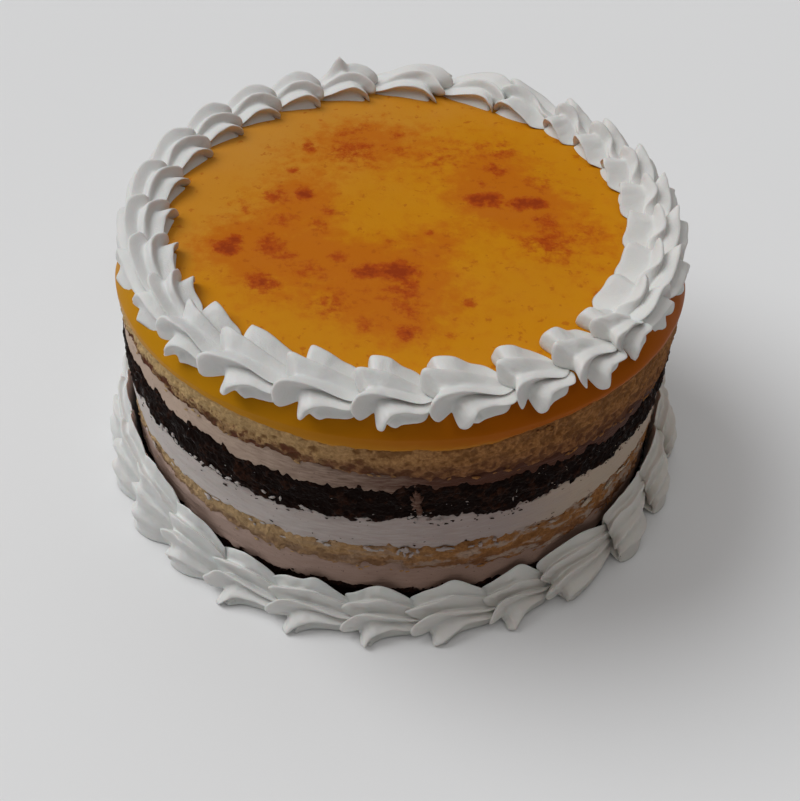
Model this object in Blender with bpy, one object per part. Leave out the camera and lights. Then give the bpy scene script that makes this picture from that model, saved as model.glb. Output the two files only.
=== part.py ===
"""San Marcos cake: a round layer cake of chocolate and vanilla sponge with cocoa and plain whipped cream,
under a slab of toasted egg-yolk custard, with a shell border of whipped cream piped round its top edge
and another round its foot.

Metres, +Z up. The origin is at the middle of the underside. Angles go round from the front (-Y) towards +X.
"""
import math

import bmesh
import bpy
import numpy as np

# The stack of layers
CAKE_RADIUS = 0.0900
TOP_SPREAD = 0.0011          # how much wider the top of the stack is, and how far it leans to +X
SPREAD_FROM = 0.045          # height at which the spread begins
SPREAD_FULL = 0.077          # height at which it is complete
SIDE_DENT = 0.0038           # how much flatter each side of its top is
DENT_AT = math.radians(92.0)  # the middle of that, from the front
DENT_HALF = math.radians(14.0)
RIM_POINTS = 40              # corners round a layer's edge
GAP = 0.0003                 # between pieces that touch

# Upper face of each layer: height, lean (rise towards -X), wave height, waves round, wave turn in radians
BASE_TOP = (0.0150, 0.0040, 0.0004, 3, 0.4)
COCOA_LOWER_TOP = (0.0247, 0.0050, 0.0004, 5, 1.1)
VANILLA_LOWER_TOP = (0.0347, 0.0008, 0.0004, 4, 2.0)
WHIPPED_TOP = (0.0471, 0.0003, 0.0004, 6, 0.7)
CHOCOLATE_MIDDLE_TOP = (0.0602, 0.0022, 0.0007, 4, 0.3)
COCOA_UPPER_TOP = (0.0662, 0.0047, 0.0004, 3, 2.4)
VANILLA_UPPER_TOP = (0.0784, -0.0008, 0.0014, 4, -1.57)
YOLK_TOP = (0.0891, 0.0000, 0.0, 1, 0.0)

# How far each layer's edge stands out of the stack's own radius, or sinks into it
COCOA_SINK = -0.0004
WHIPPED_SINK = -0.0003
SPONGE_SINK = -0.0001
YOLK_PROUD = 0.0002

# The custard's side draws in above a height, slowly at first: by a power of the share of the height above it
SHOULDER_FROM = 0.0812
SHOULDER_IN = 0.0060
SHOULDER_CURVE = 1.25
SHOULDER_STEPS = (0.0, 0.5, 1.0)   # where its rings lie

# Piped shells, as a star nozzle leaves them
MM = 0.001
SECTION_STEPS = (0.143, 0.429, 0.714, 0.985)   # where along a shell its sections lie, from 0 to 1
RIDGE_SPREAD = (0.02, 0.30, 0.30)              # how far a ridge's places stray: share of the pitch, mm, mm
SAME_CORNER = 1e-6                             # metres; corners this close together are one corner
SMALLEST_BODY = 150                            # faces; smaller bodies left by a cut are trimmings

# Six ridges of a shell, from the inner side over the top to the outer side. Each runs through eight places
# from the foot of the head to the end of the tail: share of the pitch, distance from the axis, height in mm.
FRONT_RIDGES = np.array([
    ((.30, 80, 88.2), (.20, 73.5, 88.2), (.20, 72.5, 88.3), (.26, 71.8, 88.4),
     (.42, 71.5, 88.5), (.66, 72.5, 88.3), (.98, 73.5, 88.2), (1.22, 80, 88.6)),
    ((.30, 80, 88.6), (.15, 72.6, 89.4), (.165, 72.0, 92.6), (.25, 72.5, 94.6),
     (.50, 72.8, 94.4), (.74, 73.4, 92.0), (1.02, 74.0, 89.9), (1.24, 81, 89.0)),
    ((.30, 82, 89.0), (.06, 81.5, 90.0), (-.01, 80.6, 94.2), (.05, 80.2, 97.2),
     (.26, 80.2, 96.6), (.55, 80.0, 95.2), (.98, 80.0, 91.2), (1.25, 82, 89.4)),
    ((.32, 85, 89.2), (.18, 92.9, 89.4), (.065, 92.8, 93.2), (.12, 91.0, 95.8),
     (.32, 89.2, 96.2), (.58, 88.2, 94.6), (1.00, 87.8, 91.4), (1.25, 84, 89.6)),
    ((.44, 87, 88.2), (.42, 93.2, 87.3), (.49, 94.6, 87.9), (.55, 94.4, 90.6),
     (.64, 93.0, 92.0), (.80, 91.8, 92.0), (1.05, 90.8, 90.9), (1.24, 86, 89.2)),
    ((.50, 86, 86.2), (.58, 89.4, 85.2), (.64, 90.4, 85.2), (.68, 90.8, 85.8),
     (.75, 90.2, 86.2), (.86, 89.6, 86.0), (1.05, 88.6, 86.0), (1.22, 84, 87.4)),
])
FRONT_CORE = np.array(((.36, 83, 88.8), (.42, 84, 89.4), (.44, 84, 90.4), (.46, 84, 91.2),
                       (.54, 83.6, 91.2), (.72, 83, 90.6), (1.03, 82.5, 89.6), (1.22, 82, 89.0)))
FRONT_VALLEYS = np.array((.30, .42, .44, .46, .18))   # depth of the groove after each ridge, as a share
SIDE_RIDGES = np.array([
    ((.40, 78, 88.2), (.24, 73.0, 88.2), (.20, 71.4, 88.3), (.26, 71.2, 88.4),
     (.42, 72.0, 88.5), (.64, 73.0, 88.4), (.98, 74.5, 88.4), (1.22, 79, 88.6)),
    ((.40, 78, 88.6), (.20, 72.4, 88.8), (.15, 70.4, 90.0), (.20, 70.6, 92.4),
     (.38, 72.0, 94.2), (.62, 73.4, 93.2), (1.00, 75.0, 90.8), (1.24, 80, 89.4)),
    ((.40, 79, 89.0), (.10, 75.0, 89.6), (.02, 73.0, 91.4), (.05, 74.0, 94.6),
     (.28, 77.6, 96.8), (.58, 79.6, 96.0), (.98, 80.0, 91.8), (1.25, 81, 89.8)),
    ((.40, 81, 89.2), (.06, 81.0, 89.6), (-.06, 80.0, 92.0), (-.01, 81.0, 95.2),
     (.24, 84.2, 97.2), (.56, 85.4, 96.0), (1.00, 84.8, 91.4), (1.25, 83, 89.8)),
    ((.42, 83, 88.6), (.10, 87.4, 88.0), (.00, 88.0, 89.2), (.03, 87.6, 91.8),
     (.26, 87.6, 93.6), (.58, 87.2, 92.6), (1.04, 86.2, 90.4), (1.24, 83, 89.4)),
    ((.44, 84, 86.4), (.26, 87.8, 85.0), (.18, 89.0, 85.0), (.24, 89.2, 85.6),
     (.48, 88.4, 86.2), (.76, 87.4, 86.2), (1.05, 86.4, 86.4), (1.22, 83, 87.6)),
])
SIDE_CORE = np.array(((.36, 81, 88.8), (.42, 81, 89.4), (.44, 81, 90.4), (.48, 81, 91.2),
                      (.56, 81, 91.2), (.72, 80.6, 90.6), (1.03, 80.6, 89.6), (1.22, 81, 89.0)))
SIDE_VALLEYS = np.array((.25, .36, .34, .36, .15))
TURNED_RIDGES = np.array([
    ((.36, 78, 88.2), (.20, 73.0, 88.2), (.14, 71.6, 88.3), (.22, 71.0, 88.4),
     (.40, 70.2, 88.5), (.66, 69.6, 88.3), (.94, 69.6, 88.2), (1.24, 74, 88.6)),
    ((.36, 79, 88.6), (.16, 73.4, 89.2), (.12, 72.2, 91.6), (.22, 71.4, 94.2),
     (.42, 70.4, 94.6), (.68, 69.6, 92.6), (.96, 69.2, 90.0), (1.26, 74, 89.2)),
    ((.36, 80, 89.0), (.15, 80.4, 90.6), (.10, 80.0, 94.0), (.22, 79.8, 97.0),
     (.40, 81.2, 96.8), (.66, 81.4, 94.6), (.94, 77.4, 91.8), (1.28, 78, 90.0)),
    ((.38, 83, 89.2), (.15, 87.0, 90.2), (.08, 86.8, 93.4), (.18, 86.2, 96.0),
     (.38, 86.0, 95.4), (.66, 86.4, 93.0), (.97, 84.8, 91.0), (1.28, 82, 89.9)),
    ((.42, 84, 88.4), (.28, 88.4, 87.4), (.20, 89.0, 89.2), (.30, 88.8, 91.6),
     (.48, 88.6, 91.4), (.74, 88.2, 89.8), (.99, 86.6, 89.6), (1.24, 83, 89.4)),
    ((.44, 83, 86.8), (.44, 87.0, 85.4), (.40, 88.6, 85.2), (.46, 88.8, 85.8),
     (.60, 88.2, 86.0), (.80, 87.4, 86.2), (1.00, 85.4, 87.2), (1.22, 83, 88.0)),
])
TURNED_VALLEYS = np.array((.25, .44, .62, .30, .15))
TURNED_SHELLS = range(7, 15)  # these are piped the other way round the cake
HEADS_MEET = math.radians(4.8)  # how much longer the last of them is, to meet the next head
LOOSE_SHELL = 16              # the shell that closes the ring is the most uneven
LOOSE = 2.2
TOP_START = math.radians(-36.7)
TOP_WIDTHS = (14.9, 13.6, 12.5, 14.7, 12.2, 12.3, 10.0, 12.5, 14.0, 13.5, 12.0, 12.0, 12.5, 11.0, 11.3,
              17.0, 19.0, 14.5, 12.5, 13.0, 13.0, 14.5, 14.5, 14.0, 15.0, 12.0, 12.0)
HEAD_SHARE = 0.4
SIDE_FROM, SIDE_FULL = math.radians(38.0), math.radians(60.0)
BACK_SHIFT = 0.0022
OVERHANG_FROM, OVERHANG_FULL = 0.72, 0.92  # sine of the angle at which shells hang over the sides
OVERHANG = np.array((((0.4, 0.0),), ((1.2, -1.2),), ((1.2, -2.6),)))  # mm out and up, of the outer ridges

# The blunt peak that one tail at the back was pulled up into
PEAK_AT = math.radians(197.0)
PEAK_RADIUS = 0.0865
PEAK_HALF = (0.0026, 0.0030)  # half its width along the piping and across it, at its foot
PEAK_TAPER = 0.25             # how much narrower it is at its top
PEAK_FOOT, PEAK_TOP = 0.0925, 0.1001

# Shells round the foot, in the same way; those at the sides end in lobes, the others in points
FOOT_RIDGES = np.array([
    ((.35, 91, 2.0), (.10, 90.6, 4.0), (.02, 90.3, 6.0), (.16, 90.2, 6.0),
     (.42, 90.2, 6.0), (.66, 90.2, 6.0), (1.02, 90.2, 5.0), (1.22, 91, 3.0)),
    ((.35, 92, 4.0), (.06, 91.2, 9.0), (-.04, 90.8, 12.0), (.14, 91.2, 15.4),
     (.38, 91.4, 17.6), (.60, 91.6, 20.0), (.86, 91.2, 15.0), (1.18, 91.6, 9.0)),
    ((.35, 93, 4.0), (.04, 93.4, 7.0), (-.06, 93.6, 9.6), (.06, 94.2, 12.4),
     (.32, 94.4, 13.8), (.58, 93.8, 13.8), (.98, 93.0, 10.4), (1.22, 93, 7.0)),
    ((.35, 95, 2.0), (.04, 97.8, 2.2), (-.03, 98.6, 4.8), (.04, 98.0, 8.4),
     (.22, 97.0, 11.0), (.56, 96.2, 9.8), (1.00, 95.4, 6.8), (1.22, 94, 5.0)),
    ((.38, 95, 0.6), (.27, 99.8, 0.5), (.35, 101.4, 1.0), (.42, 100.4, 3.0),
     (.56, 98.6, 4.6), (.76, 97.4, 5.0), (1.04, 96.6, 3.8), (1.22, 94, 2.0)),
    ((.40, 94, 0.1), (.32, 98.6, 0.1), (.42, 100.0, 0.1), (.48, 98.8, 0.1),
     (.60, 97.0, 0.1), (.78, 96.0, 0.1), (1.04, 95.4, 0.1), (1.22, 93, 0.1)),
])
FOOT_SIDE_RIDGES = np.array([
    ((.35, 91, 2.0), (.10, 90.6, 4.0), (.02, 90.3, 6.0), (.16, 90.2, 6.0),
     (.42, 90.2, 6.0), (.66, 90.2, 6.0), (1.02, 90.2, 5.0), (1.22, 91, 3.0)),
    ((.35, 92, 8.0), (.06, 91.8, 15.0), (-.02, 91.6, 20.4), (.12, 92.4, 23.4),
     (.36, 92.6, 25.0), (.62, 92.4, 24.0), (.92, 92.0, 21.0), (1.20, 91.8, 16.0)),
    ((.35, 93, 6.0), (.04, 94.4, 12.0), (-.04, 95.0, 17.0), (.08, 96.0, 20.6),
     (.32, 96.6, 22.0), (.58, 96.0, 20.6), (.92, 94.8, 17.4), (1.22, 93.4, 12.5)),
    ((.35, 95, 2.0), (.06, 97.2, 5.0), (.00, 98.2, 10.4), (.08, 99.0, 14.2),
     (.30, 99.6, 15.8), (.58, 98.4, 14.2), (.90, 95.8, 11.2), (1.20, 93.8, 7.6)),
    ((.36, 95, 0.6), (.16, 98.4, 1.2), (.04, 99.2, 4.0), (.12, 100.8, 7.0),
     (.34, 101.8, 8.2), (.62, 100.2, 6.8), (.90, 96.4, 4.4), (1.20, 93.4, 2.4)),
    ((.38, 94, 0.1), (.22, 97.6, 0.1), (.10, 98.8, 0.1), (.16, 100.6, 0.1),
     (.36, 101.4, 0.1), (.62, 99.8, 0.1), (.90, 95.8, 0.1), (1.20, 92.6, 0.1)),
])
FOOT_CORE = np.array(((.38, 92, 1.0), (.40, 92, 2.0), (.42, 92, 3.0), (.44, 92, 4.0),
                      (.52, 92, 4.4), (.70, 92, 4.0), (1.03, 92, 3.0), (1.22, 92, 1.6)))
FOOT_VALLEYS = np.array((.10, .22, .46, .44, .20))
FOOT_SIDE_VALLEYS = np.array((.05, .12, .18, .16, .08))
FOOT_START = math.radians(-36.0)
FOOT_WIDTHS = (13.7, 14.2, 12.5, 14.6, 12.0, 17.5, 14.5, 16.0, 16.0, 13.0, 12.5, 13.0, 12.5, 13.0, 12.5,
               12.5, 13.0, 12.5, 13.0, 12.0, 12.5, 13.0, 13.5, 13.0, 13.0, 12.5, 12.0)
FOOT_SPREAD = (0.03, 0.45, 0.45)
FOOT_TALLER = np.array((0.0, 5.0, 4.0, 2.0, 0.0, 0.0))  # mm; how much taller each ridge is at -X
LOBES_FROM, LOBES_FULL = 0.50, 0.78  # sine of the angle at which points turn to lobes
FOOT_BACK = 87.5              # mm; the inner side and the underside start inside what the shells lie against,
FOOT_BELOW = 1.6              # and are trimmed level with it
SLAB_RADIUS = 0.135          # of the guide body that trims the shells level with the underside
SLAB_DEPTH = 0.020

WHITE_CREAM = ((0.86, 0.86, 0.83), 0.50)
COCOA_CREAM = ((0.30, 0.20, 0.16), 0.60)
VANILLA_SPONGE = ((0.52, 0.36, 0.17), 0.90)
CHOCOLATE_SPONGE = ((0.030, 0.016, 0.012), 0.75)
YOLK_CUSTARD = ((0.60, 0.28, 0.03), 0.30)


def principled(name, look):
    """A Principled material from a colour and a roughness."""
    colour, roughness = look
    material = bpy.data.materials.new(name)
    material.use_nodes = True
    shader = material.node_tree.nodes["Principled BSDF"]
    shader.inputs["Base Color"].default_value = (*colour, 1.0)
    shader.inputs["Roughness"].default_value = roughness
    shader.inputs["Metallic"].default_value = 0.0
    return material


def add_object(name, points, faces, material):
    """A smooth-shaded mesh object from points and faces."""
    mesh = bpy.data.meshes.new(name)
    mesh.from_pydata(np.asarray(points).tolist(), [], [list(map(int, face)) for face in faces])
    mesh.update()
    mesh.shade_smooth()
    mesh.set_sharp_from_angle(angle=math.radians(40.0))
    obj = bpy.data.objects.new(name, mesh)
    bpy.context.collection.objects.link(obj)
    if material is not None:
        mesh.materials.append(material)
    return obj


def face_height(face, angle, radius):
    """Height of an uneven layer face: its level, less a lean towards +X, plus waves that grow to the rim."""
    level, lean, wave, waves, turn = face
    uneven = -lean * np.sin(angle) + wave * np.sin(waves * angle + turn)
    return level + uneven * radius / CAKE_RADIUS


def rim_ring(face, lift, sink):
    """Points round a layer's edge, on one of its faces; lift moves them up, sink moves them in or out."""
    angle = 2.0 * math.pi * np.arange(RIM_POINTS) / RIM_POINTS
    spread = TOP_SPREAD * np.clip((face[0] - SPREAD_FROM) / (SPREAD_FULL - SPREAD_FROM), 0.0, 1.0)
    from_front = np.abs((angle + math.pi) % (2.0 * math.pi) - math.pi)
    dent = SIDE_DENT * spread / TOP_SPREAD * np.exp(-((from_front - DENT_AT) / DENT_HALF) ** 2)
    radius = CAKE_RADIUS + spread - dent + sink
    height = face_height(face, angle, radius) + lift
    return np.stack([spread + radius * np.sin(angle), -radius * np.cos(angle), height], axis=1)


def lofted(rings):
    """Points and faces of a closed body through rings of equal count, with a fan of triangles at each end."""
    count = len(rings[0])
    points = np.vstack([*rings, rings[0].mean(axis=0), rings[-1].mean(axis=0)])
    faces = []
    for level in range(len(rings) - 1):
        for i in range(count):
            j = (i + 1) % count
            low, high = level * count, (level + 1) * count
            faces.append((low + i, low + j, high + j, high + i))
    bottom, top = len(rings) * count, len(rings) * count + 1
    last = (len(rings) - 1) * count
    for i in range(count):
        j = (i + 1) % count
        faces.append((bottom, j, i))
        faces.append((top, last + i, last + j))
    return points, faces


def layer(name, under, over, sink, material):
    """One layer of the cake, between two uneven faces; half of GAP is left at each face it shares."""
    low = rim_ring(under, 0.5 * GAP if under[0] > 0.0 else 0.0, sink)
    points, faces = lofted([low, rim_ring(over, -0.5 * GAP, sink)])
    return add_object(name, points, faces, material)


def custard_shoulder(grow):
    """Rings from the custard's side up its shoulder to its top, moved out and, at the top, up by grow."""
    rings = []
    for rise in SHOULDER_STEPS:
        lift = (rise - 1.0) * (YOLK_TOP[0] - SHOULDER_FROM) + grow * rise
        rings.append(rim_ring(YOLK_TOP, lift, YOLK_PROUD - SHOULDER_IN * rise ** SHOULDER_CURVE + grow))
    return rings


def custard_slab(name, material):
    """The custard on top, from the face of the sponge under it up over its shoulder."""
    points, faces = lofted([rim_ring(VANILLA_UPPER_TOP, 0.5 * GAP, YOLK_PROUD), *custard_shoulder(0.0)])
    return add_object(name, points, faces, material)


def along_path(places, steps):
    """Points of a smooth line through places, at steps from 0 to 1: between two places a cubic whose slope at
    each is the slope between that place's neighbours."""
    count = places.shape[-2]
    at = np.array(steps) * (count - 1)
    first = np.clip(at.astype(int), 0, count - 2)
    part = (at - first)[:, None]
    before, here = places[..., np.maximum(first - 1, 0), :], places[..., first, :]
    beyond, after = places[..., first + 1, :], places[..., np.minimum(first + 2, count - 1), :]
    return 0.5 * (2.0 * here + (beyond - before) * part
                  + (2.0 * before - 5.0 * here + 4.0 * beyond - after) * part ** 2
                  + (3.0 * here - before - 3.0 * beyond + after) * part ** 3)


def shell_sections(ridges, core, valleys):
    """Sections of one shell as rings of (share of the pitch, distance from the axis in mm, height in mm).

    A ring has a corner on every ridge and one in every groove but the first: halfway between two ridges,
    drawn in towards the core by the groove's depth.
    """
    lines, middle = along_path(ridges, SECTION_STEPS), along_path(core, SECTION_STEPS)
    corners = [lines[0], lines[1]]
    for i in range(1, len(lines) - 1):
        groove = 0.5 * (lines[i] + lines[i + 1])
        corners.append(groove + (middle - groove) * valleys[i])
        corners.append(lines[i + 1])
    return np.stack(corners, axis=1)


def uneven(rng, spread, ridges):
    """Random shifts of a shell's places, less at both ends and least underneath."""
    shift = rng.uniform(-1.0, 1.0, ridges.shape) * spread
    shift[:, [0, -1]] *= 0.3
    shift[[0, -1]] *= 0.3
    return shift


def to_world(angle, radius, height, shift):
    """Cylindrical to Cartesian, angle from the front towards +X; shift moves the axis to +X."""
    return np.stack([shift + radius * np.sin(angle), -radius * np.cos(angle), height], axis=-1)


def top_shell(index, start, width, rng):
    """Closed body of one shell on the top edge, as points and faces. Its ridges blend from the front's to the
    side's with the angle from the front; a turned shell is the mirror image along the ring."""
    from_front = abs((start + HEAD_SHARE * width + math.pi) % (2.0 * math.pi) - math.pi)
    share = min(max((from_front - SIDE_FROM) / (SIDE_FULL - SIDE_FROM), 0.0), 1.0)
    share = share * share * (3.0 - 2.0 * share)
    width += HEADS_MEET if index == TURNED_SHELLS[-1] else 0.0
    side_ridges, side_valleys = SIDE_RIDGES, SIDE_VALLEYS
    if index in TURNED_SHELLS:
        share, side_ridges, side_valleys = 1.0, TURNED_RIDGES, TURNED_VALLEYS
    ridges = FRONT_RIDGES * (1.0 - share) + side_ridges * share
    sideways = (abs(math.sin(start + HEAD_SHARE * width)) - OVERHANG_FROM) / (OVERHANG_FULL - OVERHANG_FROM)
    ridges[3:, 1:-1, 1:] += OVERHANG * min(max(sideways, 0.0), 1.0)
    spread = np.array(RIDGE_SPREAD) * (LOOSE if index == LOOSE_SHELL else 1.0)
    core = FRONT_CORE * (1.0 - share) + SIDE_CORE * share
    valleys = FRONT_VALLEYS * (1.0 - share) + side_valleys * share
    rings = shell_sections(ridges + uneven(rng, spread, ridges), core, valleys)
    along = rings[..., 0]
    if index in TURNED_SHELLS:
        rings = rings[:, ::-1]
        along = 1.0 - rings[..., 0]
    radius = rings[..., 1] * MM + BACK_SHIFT * max(-math.cos(from_front), 0.0)
    return lofted(list(to_world(start + along * width, radius, rings[..., 2] * MM, TOP_SPREAD)))


def foot_shell(start, width, rng):
    """Closed body of one shell round the foot, as points and faces, reaching into the cake and below it."""
    sideways = abs(math.sin(start + HEAD_SHARE * width))
    share = min(max((sideways - LOBES_FROM) / (LOBES_FULL - LOBES_FROM), 0.0), 1.0)
    ridges = FOOT_RIDGES * (1.0 - share) + FOOT_SIDE_RIDGES * share
    ridges[..., 2] += (FOOT_TALLER * share * max(-math.sin(start), 0.0))[:, None]
    valleys = FOOT_VALLEYS * (1.0 - share) + FOOT_SIDE_VALLEYS * share
    ridges = ridges + uneven(rng, FOOT_SPREAD, ridges)
    ridges[0, :, 1:] = FOOT_BACK, -FOOT_BELOW
    ridges[-1, :, 2] -= FOOT_BELOW
    rings = shell_sections(ridges, FOOT_CORE, valleys)
    return lofted(list(to_world(start + rings[..., 0] * width, rings[..., 1] * MM, rings[..., 2] * MM, 0.0)))


def lifted_peak():
    """The peak's closed body, a blunt wedge of four sides."""
    rings = []
    for height, size in ((PEAK_FOOT, 1.0), (PEAK_TOP, 1.0 - PEAK_TAPER)):
        across = PEAK_HALF[1] * size * np.array((-1.0, 1.0, 1.0, -1.0))
        angle = PEAK_AT + PEAK_HALF[0] * size * np.array((-1.0, -1.0, 1.0, 1.0)) / PEAK_RADIUS
        rings.append(to_world(angle, PEAK_RADIUS + across, np.full(4, height), TOP_SPREAD))
    return lofted(rings)


def guide(name, body):
    """A body that only shapes others."""
    obj = add_object(name, *body, None)
    obj.hide_render = True
    obj.display_type = "WIRE"
    return obj


def cake_space(faces_up, upper_rings, slab_radius):
    """The cake's own space and GAP round it, as a body; slab_radius adds what the cake stands on."""
    rings = [rim_ring(face, 0.0, GAP + YOLK_PROUD) for face in faces_up] + upper_rings
    if slab_radius:
        outward = rings[0].copy()
        outward[:, :2] *= slab_radius / CAKE_RADIUS
        below = outward.copy()
        below[:, 2] = -SLAB_DEPTH
        rings = [below, outward, *rings]
    return lofted(rings)


def boolean(obj, operation, other):
    """Adds one Boolean step; the exact solver leaves open edges where the shells' thin tips cross."""
    step = obj.modifiers.new(operation.lower(), "BOOLEAN")
    step.operation = operation
    step.solver = "MANIFOLD"
    step.object = other


def settle(obj):
    """Applies an object's modifiers, welds corners that coincide and deletes small bodies that a cut left."""
    evaluated = obj.evaluated_get(bpy.context.evaluated_depsgraph_get())
    mesh = bpy.data.meshes.new_from_object(evaluated)
    obj.modifiers.clear()
    obj.data = mesh
    shape = bmesh.new()
    shape.from_mesh(mesh)
    bmesh.ops.triangulate(shape, faces=shape.faces[:])
    bmesh.ops.remove_doubles(shape, verts=shape.verts[:], dist=SAME_CORNER)
    waiting = set(shape.faces)
    small = []
    while waiting:
        body = {waiting.pop()}
        front = list(body)
        while front:
            for edge in front.pop().edges:
                if len(edge.link_faces) != 2:
                    continue
                fresh = set(edge.link_faces) - body
                body |= fresh
                front += fresh
        waiting -= body
        if len(body) < SMALLEST_BODY:
            small += body
    bmesh.ops.delete(shape, geom=small, context="FACES")
    shape.to_mesh(mesh)
    shape.free()


def border(name, bodies, space, material):
    """One run of piping: its shells fused into one body, with the space of the cake taken out of it."""
    first, *others = bodies
    obj = add_object(name, *first, material)
    guides = [guide(f"{name}_shell_{i + 2}", body) for i, body in enumerate(others)]
    for shell in guides:
        boolean(obj, "UNION", shell)
    guides.append(guide(f"{name}_space", space))
    boolean(obj, "DIFFERENCE", guides[-1])
    settle(obj)
    for used in guides:
        bpy.data.objects.remove(used, do_unlink=True)


def build():
    """Makes every piece."""
    for obj in list(bpy.data.objects):
        bpy.data.objects.remove(obj, do_unlink=True)
    rng = np.random.default_rng(27)
    floor = (0.0, 0.0, 0.0, 1, 0.0)
    chocolate = principled("chocolate_sponge", CHOCOLATE_SPONGE)
    vanilla = principled("vanilla_sponge", VANILLA_SPONGE)
    cocoa = principled("cocoa_cream", COCOA_CREAM)
    white = principled("whipped_cream", WHITE_CREAM)
    custard = principled("yolk_custard", YOLK_CUSTARD)

    layer("chocolate_sponge_base", floor, BASE_TOP, SPONGE_SINK, chocolate)
    layer("cocoa_cream_lower", BASE_TOP, COCOA_LOWER_TOP, COCOA_SINK, cocoa)
    layer("vanilla_sponge_lower", COCOA_LOWER_TOP, VANILLA_LOWER_TOP, SPONGE_SINK, vanilla)
    layer("whipped_cream_layer", VANILLA_LOWER_TOP, WHIPPED_TOP, WHIPPED_SINK, white)
    layer("chocolate_sponge_middle", WHIPPED_TOP, CHOCOLATE_MIDDLE_TOP, SPONGE_SINK, chocolate)
    layer("cocoa_cream_upper", CHOCOLATE_MIDDLE_TOP, COCOA_UPPER_TOP, COCOA_SINK, cocoa)
    layer("vanilla_sponge_upper", COCOA_UPPER_TOP, VANILLA_UPPER_TOP, SPONGE_SINK, vanilla)
    custard_slab("egg_yolk_topping", custard)

    start = TOP_START
    shells = []
    for index, width in enumerate(np.radians(TOP_WIDTHS)):
        shells.append(top_shell(index, start, width, rng))
        start += width
    top_faces = (WHIPPED_TOP, VANILLA_UPPER_TOP)
    border("top_border", [*shells, lifted_peak()], cake_space(top_faces, custard_shoulder(GAP), 0.0), white)

    start = FOOT_START
    shells = []
    for width in np.radians(FOOT_WIDTHS):
        shells.append(foot_shell(start, width, rng))
        start += width
    foot_faces = (floor, WHIPPED_TOP, CHOCOLATE_MIDDLE_TOP)
    border("bottom_border", shells, cake_space(foot_faces, [], SLAB_RADIUS), white)


build()
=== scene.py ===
"""Looks of a San Marcos cake, piece by piece from the base sponge up to the piped cream."""
import math
import bpy
import numpy as np
from mathutils import Matrix, Vector


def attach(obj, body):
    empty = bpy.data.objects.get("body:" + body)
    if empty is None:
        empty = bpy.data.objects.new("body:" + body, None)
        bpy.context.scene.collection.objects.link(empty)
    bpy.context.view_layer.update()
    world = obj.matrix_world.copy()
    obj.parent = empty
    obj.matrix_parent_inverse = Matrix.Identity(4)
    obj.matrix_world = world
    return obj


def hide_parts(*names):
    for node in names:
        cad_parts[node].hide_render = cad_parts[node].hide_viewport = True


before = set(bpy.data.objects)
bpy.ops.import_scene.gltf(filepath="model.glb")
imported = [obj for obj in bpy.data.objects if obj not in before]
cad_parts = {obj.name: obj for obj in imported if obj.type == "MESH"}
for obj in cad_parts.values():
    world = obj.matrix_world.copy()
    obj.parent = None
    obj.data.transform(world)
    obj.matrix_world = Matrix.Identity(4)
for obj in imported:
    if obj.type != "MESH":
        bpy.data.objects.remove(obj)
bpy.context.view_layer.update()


# Camera, floor and light
# A daylight room: broad soft light from high on the left and behind, pale floor, nothing else about.
VIEW_RADIUS = 0.0900          # the camera's place is worked out in radii of the cake
VIEW_PITCH = math.radians(43.54)
VIEW_ROLL = math.radians(1.68)
VIEW_DISTANCE = 4.818 * VIEW_RADIUS
VIEW_TARGET = Vector((0.0228 * VIEW_RADIUS, 0.0, 0.1042 * VIEW_RADIUS))
VIEW_FOCAL_PIXELS = 1197.2    # of an image 801 pixels on its longer side
IMAGE_SIDE = 801
SENSOR = 36.0
NEAREST_SEEN = 0.01
FLOOR_HALF = 2.5
FLOOR_DEPTH = 0.0003          # the floor lies this far under the cake, so that the two never share a plane
FLOOR_COLOUR = (0.82, 0.82, 0.82, 1.0)
FLOOR_ROUGHNESS = 0.8
ROOM_COLOUR = (0.57, 0.55, 0.52, 1.0)
ROOM_STRENGTH = 0.14

forward = Vector((0.0, math.cos(VIEW_PITCH), -math.sin(VIEW_PITCH)))
level = Vector((1.0, 0.0, 0.0))
above = level.cross(forward)
right = level * math.cos(VIEW_ROLL) + above * math.sin(VIEW_ROLL)
upward = above * math.cos(VIEW_ROLL) - level * math.sin(VIEW_ROLL)
eye = VIEW_TARGET - VIEW_DISTANCE * forward
lens = bpy.data.cameras.new("camera")
lens.sensor_width = SENSOR
lens.lens = VIEW_FOCAL_PIXELS / IMAGE_SIDE * SENSOR
lens.clip_start = NEAREST_SEEN
camera = bpy.data.objects.new("camera", lens)
camera.matrix_world = Matrix((
    (right.x, upward.x, -forward.x, eye.x),
    (right.y, upward.y, -forward.y, eye.y),
    (right.z, upward.z, -forward.z, eye.z),
    (0.0, 0.0, 0.0, 1.0),
))
bpy.context.collection.objects.link(camera)
bpy.context.scene.camera = camera

floor_mesh = bpy.data.meshes.new("floor")
floor_mesh.from_pydata(
    [(x, y, -FLOOR_DEPTH) for x, y in ((-FLOOR_HALF, -FLOOR_HALF), (FLOOR_HALF, -FLOOR_HALF),
                                       (FLOOR_HALF, FLOOR_HALF), (-FLOOR_HALF, FLOOR_HALF))],
    [], [(0, 1, 2, 3)])
floor = bpy.data.objects.new("floor", floor_mesh)
bpy.context.collection.objects.link(floor)
floor_paint = bpy.data.materials.new("pale_floor")
floor_paint.use_nodes = True
floor_shader = floor_paint.node_tree.nodes["Principled BSDF"]
floor_shader.inputs["Base Color"].default_value = FLOOR_COLOUR
floor_shader.inputs["Roughness"].default_value = FLOOR_ROUGHNESS
floor_mesh.materials.append(floor_paint)


def soft_light(name, toward, spread, strength, colour):
    """Even light from far away in a direction, softened as if it came from a disc of that many degrees."""
    lamp = bpy.data.lights.new(name, "SUN")
    lamp.energy = strength
    lamp.angle = math.radians(spread)
    lamp.color = colour
    light = bpy.data.objects.new(name, lamp)
    light.rotation_euler = Vector(toward).to_track_quat("Z", "Y").to_euler()
    bpy.context.collection.objects.link(light)


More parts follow.
